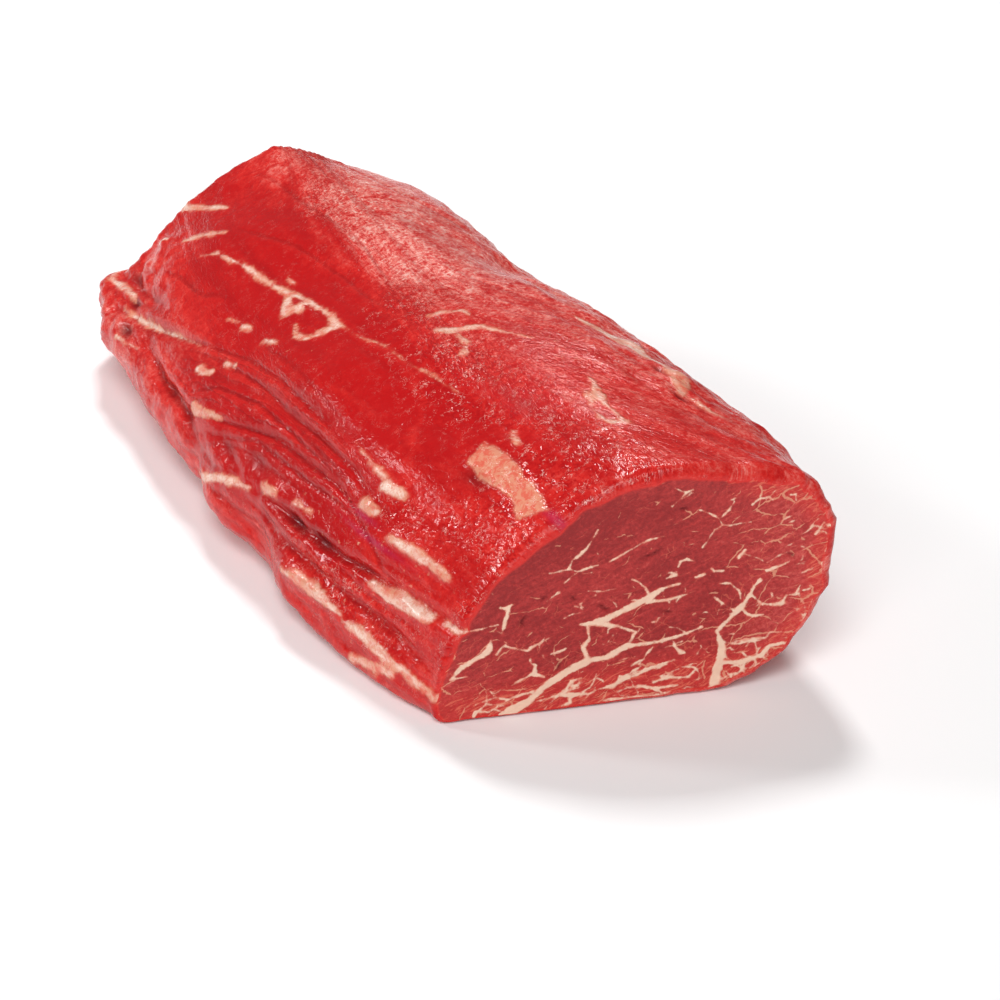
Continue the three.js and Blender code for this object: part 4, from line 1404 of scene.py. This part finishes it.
def skin_material(colours, groups):
    """The outside of the roast: deep red, pale film, folds, fat, shaded seams and a bright rim."""
    material, shader, w = new_material("raw_meat_skin", specular=0.38)
    place, grain = w.place(), w.grain("grain")
    fibres = w.group(groups["fibres"], {"Grain": grain, "Fibre Length": 2.0, "Fibre Width": 0.8})
    sheets = w.group(groups["fibres"], {"Grain": grain, "Fibre Length": 11.0, "Fibre Width": 2.4})
    pale, wet, film = w.mark("paleness"), w.mark("wetness"), w.mark("fibrous")
    grit = w.plus(w.times(film, 0.08), 0.04)
    moist = {"Place": place, "Grain": grain, "Wetness": wet, "Grit": grit}
    moist = w.group(groups["moisture"], moist)
    mottle = moist["Mottle"]
    blotch = w.ripple(place, BLOTCH_SCALE, detail=5.0, distortion=1.0)
    shade, edge, relief = layer_lines(w, place)
    fold = w.ramp(w.plus(w.mark("fold_gap"), w.times(blotch, 1.2)), 0.15, 1.0, 1.0, 0.0)
    fold = w.times(fold, w.mark("fold_shade"))
    at_rim = {"Gap": w.mark("rim_gap"), "Place": place, "Wobble": 3.0, "Wobble Scale": RIM_SCALE}
    rim = w.minus(1.0, w.group(groups["edge"], at_rim | {"Softness": 1.8})["Mask"])

    # How pale the meat is, from the deep red band to the whitest film.
    film = w.times(film, w.minus(1.0, rim))
    threads = w.times(fibres["Threads"], film)
    dapple = w.times(w.ripple(place, DAPPLE_SCALE, distortion=0.4), film)
    stir = w.weighted(
        (threads, 0.8), (sheets["Threads"], 0.7), (blotch, 2.0), (mottle, 1.0), (dapple, 3.0),
    )
    level = w.plus(pale, w.times(stir, w.plus(w.times(pale, 0.9), 0.2)))
    level = w.weighted((level, 1.0), (edge, 0.10), (w.mark("fold_pale"), 0.4))
    body = w.over(colours.deep_red, colours.lean_red, w.ramp(level, 0.0, 0.5))
    body = w.over(body, colours.film_pink, w.ramp(level, 0.35, 1.05))
    body = w.over(body, colours.film_and_glint_white, w.ramp(level, 0.95, 1.35, 0.0, 0.7))

    # The film's white wisps and speckle, and the red that shows through its gaps.
    wisps = w.stretched(grain, 0.14, 0.30)
    wisps = w.lines(w.ripple(wisps, detail=4.0, roughness=0.65, distortion=2.2), 0.04)
    wisps = w.times(wisps, w.ramp(pale, 0.30, 0.75, 0.0, 0.55))
    wisps = w.times(wisps, w.ramp(blotch, -0.15, 0.1))
    body = w.over(body, colours.film_and_glint_white, wisps)
    speckle = w.times(w.ramp(dapple, 0.07, 0.16), w.times(pale, 0.5))
    body = w.over(body, colours.film_and_glint_white, speckle)
    body = w.over(body, colours.lean_red, w.ramp(dapple, -0.05, -0.16), 0.5)

    # Dark pools, the wet strip's pale net of strands painted white partly as glints, painted violet
    # iridescent sheen, the rim, and painted shade in the seams, dents, layers and folds.
    pools = w.noise(w.stretched(grain, 0.02, 0.07), detail=4.0, distortion=0.8)
    pools = w.ramp(pools, 0.46, 0.64, 0.0, 0.6)
    body = w.over(body, colours.wet_red, pools, 0.7)
    body = w.over(body, colours.wet_red, w.times(w.ramp(mottle, 0.05, -0.15), wet), 0.7)
    # The wet strip's pale strands: bits of film, painted white partly as glints on its wet wrinkles.
    strands_and_glints = w.lines(w.ripple(place, GLINT_STRAND_SCALE, roughness=0.5, distortion=1.2), 0.032)
    strands_and_glints = w.times(strands_and_glints, w.ramp(w.noise(place, GLINT_STRAND_PATCH_SCALE), 0.48, 0.62))
    body = w.over(body, colours.film_and_glint_white, w.times(strands_and_glints, wet), 0.8)
    # Painted violet iridescent sheen in a few small patches.
    body = w.over(body, colours.iridescent_sheen_violet, w.mark("iridescent_sheen"), 0.45)
    body = w.over(body, colours.rim_red, rim, 0.8)
    # Painted shade in the seams and dents, under the layers' edges and along the folds.
    dark = w.larger(w.times(w.mark("crevice_shade"), 0.9), w.times(shade, 0.25))
    body = w.over(body, colours.crevice_shade_red, w.larger(dark, w.times(fold, 0.6)))

    # Fat: thin pink edges, cream streaks with white middles and painted highlights, and small flecks.
    at_fat = {"Gap": w.mark("fat_gap"), "Place": place, "Wobble": 2.4, "Wobble Scale": FAT_EDGE_SCALE}
    thin = w.group(groups["edge"], at_fat | {"Softness": 1.3})["Mask"]
    fat = w.group(groups["edge"], at_fat | {"Softness": 0.6})["Mask"]
    tone = {"Place": place, "Cream": colours.fat_cream, "Pink": colours.fat_pink, "Pinkness": 1.0}
    tone = w.group(groups["fat"], tone)["Colour"]
    # The whiter middles of thick fat, partly painted highlight, with the strands laid on in white as
    # painted highlights.
    whiteness = w.times(w.mark("fat_white_and_highlight"), w.ramp(mottle, -0.15, 0.1, 0.35, 1.0))
    tone = w.over(tone, colours.fat_white_and_highlight, w.larger(whiteness, w.times(strands_and_glints, 0.7)))
    body = w.over(body, colours.fat_pink, thin, 0.45)
    body = w.over(body, tone, fat, 0.82)
    flecks = w.ramp(w.noise(place, FLECK_SCALE, roughness=0.5), 0.66, 0.74)
    body = w.over(body, colours.fat_cream, w.times(flecks, w.mark("fleck")), 0.8)

    height = w.weighted(
        (moist["Height"], 1.0), (threads, 0.06), (dapple, 0.1), (relief, 0.12), (fat, 0.2),
        (fold, -0.2),
    )
    finish_surface(w, shader, body, w.plus(moist["Roughness"], w.times(pale, 0.10)), height)
    return material


def fine_web(w, grain, size, width, shift):
    """Thin walls of fat between cells stretched along the bundles."""
    shifted = w.vector("ADD", grain, (shift, shift, 0.0))
    bend = w.node("ShaderNodeTexNoise", {"Vector": shifted, "Scale": 0.45, "Detail": 3.0})
    moved = w.node("ShaderNodeVectorMath", operation="MULTIPLY_ADD")
    for target, value in zip(moved.inputs, (bend.outputs["Color"], (2.4, 2.0, 0.0), shifted)):
        w.feed(target, value)
    cells = {"Vector": w.stretched(moved.outputs[0], 0.55 / size, 1.0 / size), "Scale": 1.0}
    cells = w.node("ShaderNodeTexVoronoi", cells, feature="DISTANCE_TO_EDGE", voronoi_dimensions="2D")
    gate = w.noise(w.stretched(shifted, 0.14, 0.26))
    spread = w.plus(gate, w.times(w.mark("web"), 0.22))
    reach = w.ramp(spread, 0.58, 0.80, -0.04, width / size)
    return w.ramp(w.minus(cells.outputs["Distance"], reach), 0.0, 0.03, 1.0, 0.0)


def cut_material(colours, groups):
    """A cut face: duller red muscle bundles, cream veins, a fine web of fat and a bright rim."""
    material, shader, w = new_material("raw_meat_cut", specular=0.25)
    place, grain = w.place(), w.grain("cut")
    fibres = w.group(groups["fibres"], {"Grain": grain, "Fibre Length": 2.4, "Fibre Width": 0.6})
    bands = w.group(groups["fibres"], {"Grain": grain, "Fibre Length": 9.0, "Fibre Width": 1.6})
    moist = {"Place": place, "Grain": grain, "Wetness": w.mark("wetness"), "Grit": 0.08}
    moist = w.group(groups["moisture"], moist)
    dapple = w.ripple(place, DAPPLE_SCALE, distortion=0.4)
    level = w.weighted(
        (w.mark("tone"), 0.6), (fibres["Threads"], 1.0), (bands["Threads"], 1.3),
        (moist["Mottle"], 0.9), (dapple, 1.6),
    )
    body = w.over(colours.cut_dark, colours.cut_red, w.ramp(level, -0.45, 0.55))
    body = w.over(body, colours.cut_light, w.ramp(level, 0.35, 0.95))
    furrow = w.times(w.lines(bands["Threads"], 0.035), w.ramp(fibres["Bundles"], -0.1, 0.15))
    body = w.over(body, colours.cut_dark, furrow, 0.4)

    # The rim, the margins' short strokes, the fine web, flecks, and painted shade in the slits.
    margin = w.mark("strokes")
    strokes = w.stretched(grain, 0.22, 1.25)
    strokes = w.noise(strokes, detail=4.0, roughness=0.65, distortion=0.9)
    strokes = w.ramp(w.plus(strokes, w.times(margin, 0.13)), 0.66, 0.72)
    edge = w.ramp(w.mark("rim_gap"), 0.1, 1.0, 1.0, 0.0)
    body = w.over(body, colours.rim_red, w.larger(w.times(edge, 0.8), w.times(margin, 0.35)))
    body = w.over(body, colours.fat_pink, strokes, 0.75)
    body = w.over(body, colours.fat_pink, fine_web(w, grain, 2.3, 0.05, shift=11.0), 0.4)
    body = w.over(body, colours.fat_cream, fine_web(w, grain, 5.0, 0.10, shift=3.0), 0.75)
    flecks = w.stretched(grain, 0.8, 1.4)
    flecks = w.ramp(w.noise(flecks, detail=3.0, roughness=0.7, distortion=0.5), 0.72, 0.78)
    body = w.over(body, colours.fat_cream, flecks, 0.7)
    # Painted shade in the slits.
    body = w.over(body, colours.crevice_shade_red, w.mark("crevice_shade"), 0.85)

    # The veins, with a pink halo and pinker, thinner ends.
    gap = w.mark("vein_gap")
    at_vein = {"Gap": gap, "Place": place, "Wobble": 1.0, "Wobble Scale": VEIN_EDGE_SCALE}
    halo = w.group(groups["edge"], at_vein | {"Softness": 0.5})["Mask"]
    body = w.over(body, colours.fat_pink, halo, 0.45)
    vein = w.group(groups["edge"], at_vein | {"Softness": 0.2})["Mask"]
    fat = {"Place": place, "Cream": colours.vein_cream, "Pink": colours.fat_pink}
    fat = w.group(groups["fat"], fat | {"Pinkness": w.ramp(gap, -0.5, 0.0, 0.05, 0.7)})["Colour"]
    body = w.over(body, fat, vein, 0.95)

    height = w.weighted((moist["Height"], 0.5), (fibres["Threads"], 0.12), (vein, 0.06))
    finish_surface(w, shader, body, w.plus(moist["Roughness"], 0.1), height)
    return material


def floor_material(colour):
    """A plain matt floor, very slightly uneven in tone."""
    material = bpy.data.materials.new("pale_floor")
    material.use_nodes = True
    w = Wiring(material.node_tree)
    shader = material.node_tree.nodes["Principled BSDF"]
    shader.inputs["Roughness"].default_value = 0.8
    darker = tuple(max(c - 0.03, 0.0) for c in colour[:3]) + (1.0,)
    shade = w.noise(w.place(), FLOOR_SCALE, roughness=0.55)
    w.feed(shader.inputs["Base Color"], w.over(colour, darker, shade, 0.02))
    return material


# --- properties -----------------------------------------------------------------------------------
def colour_property(name, description, *default):
    """A colour that a user would change, in linear values."""
    return bpy.props.FloatVectorProperty(
        name=name, description=description, default=(*default, 1.0),
        subtype="COLOR", size=4, min=0.0, max=1.0,
    )


def number_property(name, description, default, **limits):
    """A number that a user would change, with its unit and limits."""
    return bpy.props.FloatProperty(
        name=name, description=description, default=default, **limits
    )


class RoastShape(bpy.types.PropertyGroup):
    """Fineness and relief of the meat."""

    skin_step: number_property(
        "Skin Step", "Distance between vertices on the skin",
        0.00082, min=0.0005, unit="LENGTH", precision=5,
    )
    cut_step: number_property(
        "Cut Step", "Distance between vertices on the near cut",
        0.00033, min=0.0002, unit="LENGTH", precision=5,
    )
    fold_depth: number_property(
        "Fold Depth", "Strength of the fine folds and fibres",
        1.0, min=0.0, max=2.0, subtype="FACTOR",
    )


class RoastColours(bpy.types.PropertyGroup):
    """The colours of the meat."""

    deep_red: colour_property("Deep Red", "Glossy knife-smooth lean", 0.50, 0.007, 0.008)
    lean_red: colour_property("Lean Red", "Lean under thin film", 0.66, 0.024, 0.019)
    film_pink: colour_property("Film Pink", "Pale connective film", 0.84, 0.175, 0.140)
    # Film white is also painted as glints along the wet strip's strands.
    film_and_glint_white: colour_property("Film White", "The film's whitest fibres", 0.93, 0.56, 0.48)
    wet_red: colour_property("Wet Red", "Dark pools of moisture", 0.38, 0.005, 0.007)
    rim_red: colour_property("Rim Red", "The soft edge round a cut", 0.72, 0.034, 0.027)
    # Painted shade in the seams, dents, slits, folds and under the layers' edges.
    crevice_shade_red: colour_property("Crevice Red", "The bottom of the seams", 0.12, 0.004, 0.006)
    # Painted iridescent sheen, laid on as a fixed violet.
    iridescent_sheen_violet: colour_property("Stain Violet", "Faint violet stains", 0.42, 0.03, 0.12)
    fat_cream: colour_property("Fat Cream", "Fat left on the skin", 0.76, 0.32, 0.20)
    fat_pink: colour_property("Fat Pink", "Thin fat over lean", 0.74, 0.150, 0.095)
    # Also the painted highlights on the fat.
    fat_white_and_highlight: colour_property("Fat White", "The whitest lumps of fat", 0.95, 0.76, 0.64)
    cut_red: colour_property("Cut Red", "Lean of the cut faces", 0.47, 0.042, 0.040)
    cut_dark: colour_property("Cut Dark", "Darker bundles of the cut faces", 0.30, 0.024, 0.025)
    cut_light: colour_property("Cut Light", "Light bundles of the cut faces", 0.60, 0.085, 0.075)
    vein_cream: colour_property("Vein Cream", "Fat in the cut faces", 0.90, 0.63, 0.47)


class RoastStage(bpy.types.PropertyGroup):
    """Floor, light and camera."""

    floor_colour: colour_property("Floor Colour", "The plain floor", 0.97, 0.97, 0.97)
    key_power: number_property(
        "Key Power", "Power of the large soft light", 60.0, min=0.0, unit="POWER",
    )
    glint_power: number_property(
        "Glint Power", "Power of the small lights that make the glints",
        9.2, min=0.0, unit="POWER",
    )
    sky_strength: number_property(
        "Surround Strength", "Brightness of the white surround", 0.13, min=0.0,
    )
    lens: number_property(
        "Lens", "Focal length on a 36 mm sensor", CAMERA_LENS, min=10.0, unit="CAMERA",
    )


# --- operators ------------------------------------------------------------------------------------
class ROAST_OT_meat(bpy.types.Operator):
    """Builds the roast's finished surface over its solid"""

    bl_idname = "roast.meat"
    bl_label = "Build Meat"
    bl_options = {"REGISTER", "UNDO"}

    def execute(self, context):
        scene = context.scene
        places, faces, on_cut, marks = meat_mesh(scene.roast_shape)
        mesh = bpy.data.meshes.new("roast_meat")
        metres = fit_to_box(scaled(places[:, 0], places[:, 1], places[:, 2]))
        mesh.from_pydata(metres.tolist(), [], faces)
        for name, values in marks.items():
            attribute = mesh.attributes.new(name, "FLOAT", "POINT")
            attribute.data.foreach_set("value", values.astype(np.float32))
        mesh.polygons.foreach_set("material_index", on_cut.astype(np.int32))
        mesh.polygons.foreach_set("use_smooth", np.ones(len(faces), bool))
        if mesh.validate():
            raise RuntimeError("the roast's mesh had faults")
        groups = {
            "fibres": fibre_group(),
            "edge": edge_group(),
            "moisture": moisture_group(),
            "fat": fat_group(),
        }
        mesh.materials.append(skin_material(scene.roast_colours, groups))
        mesh.materials.append(cut_material(scene.roast_colours, groups))
        mesh.update()
        piece = bpy.data.objects.new("roast_meat", mesh)
        scene.collection.objects.link(piece)
        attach(piece, "root")
        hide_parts(NODE)
        return {"FINISHED"}


class ROAST_OT_stage(bpy.types.Operator):
    """Builds the plain floor, the soft lights and the camera"""

    bl_idname = "roast.stage"
    bl_label = "Build Stage"
    bl_options = {"REGISTER", "UNDO"}

    def execute(self, context):
        scene = context.scene
        stage = scene.roast_stage
        self.add_floor(scene, stage)
        self.add_lights(scene, stage)
        self.add_camera(scene, stage)
        scene.view_settings.view_transform = "Standard"
        return {"FINISHED"}

    def add_floor(self, scene, stage):
        """A wide plane just under the roast."""
        mesh = bpy.data.meshes.new("floor")
        sides = ((-1, -1), (1, -1), (1, 1), (-1, 1))
        corners = [(x * FLOOR_HALF, y * FLOOR_HALF, -FLOOR_DROP) for x, y in sides]
        mesh.from_pydata(corners, [], [(0, 1, 2, 3)])
        mesh.materials.append(floor_material(stage.floor_colour))
        floor = bpy.data.objects.new("floor", mesh)
        scene.collection.objects.link(floor)

    def add_lights(self, scene, stage):
        """Two broad soft lights, two small ones for the glints, and a white surround."""
        powers = {"key": stage.key_power, "glint": stage.glint_power}
        for name, source, share, size, place in LIGHTS:
            light = bpy.data.lights.new(name, "AREA")
            light.energy = share * powers[source]
            light.size = size
            lamp = bpy.data.objects.new(name, light)
            lamp.location = place
            lamp.rotation_euler = (-Vector(place)).to_track_quat("-Z", "Y").to_euler()
            scene.collection.objects.link(lamp)
        world = scene.world or bpy.data.worlds.new("surround")
        scene.world = world
        world.use_nodes = True
        backdrop = world.node_tree.nodes["Background"]
        backdrop.inputs["Color"].default_value = (1, 1, 1, 1)
        backdrop.inputs["Strength"].default_value = stage.sky_strength

    def add_camera(self, scene, stage):
        """The camera at the photographed place and angle."""
        camera = bpy.data.cameras.new("camera")
        camera.lens = stage.lens
        camera.sensor_width = SENSOR
        camera.clip_start = 0.01
        holder = bpy.data.objects.new("camera", camera)
        holder.location = scaled(*CAMERA_PLACE)
        turn = (math.radians(90 - CAMERA_DOWN), 0.0, math.radians(-CAMERA_HEADING))
        holder.rotation_euler = turn
        scene.collection.objects.link(holder)
        scene.camera = holder


class ROAST_PT_panel(bpy.types.Panel):
    """Lists the steps and their settings"""

    bl_idname = "ROAST_PT_panel"
    bl_label = "Raw Beef Roast"
    bl_space_type = "VIEW_3D"
    bl_region_type = "UI"
    bl_category = "Roast"

    def draw(self, context):
        scene = context.scene
        for settings, operator in (
            (scene.roast_shape, None),
            (scene.roast_colours, ROAST_OT_meat.bl_idname),
            (scene.roast_stage, ROAST_OT_stage.bl_idname),
        ):
            box = self.layout.box()
            for name in settings.__annotations__:
                box.prop(settings, name)
            if operator:
                box.operator(operator)


SETTINGS = {"roast_shape": RoastShape, "roast_colours": RoastColours, "roast_stage": RoastStage}
CLASSES = (*SETTINGS.values(), ROAST_OT_meat, ROAST_OT_stage, ROAST_PT_panel)


def register():
    """Adds the classes and their settings to the scene."""
    for item in CLASSES:
        bpy.utils.register_class(item)
    for name, group in SETTINGS.items():
        setattr(bpy.types.Scene, name, bpy.props.PointerProperty(type=group))


def unregister():
    """Takes them away again."""
    for name in SETTINGS:
        delattr(bpy.types.Scene, name)
    for item in reversed(CLASSES):
        bpy.utils.unregister_class(item)


def main():
    """Builds everything."""
    register()
    bpy.ops.roast.stage()
    bpy.ops.roast.meat()


if __name__ == "__main__":
    main()
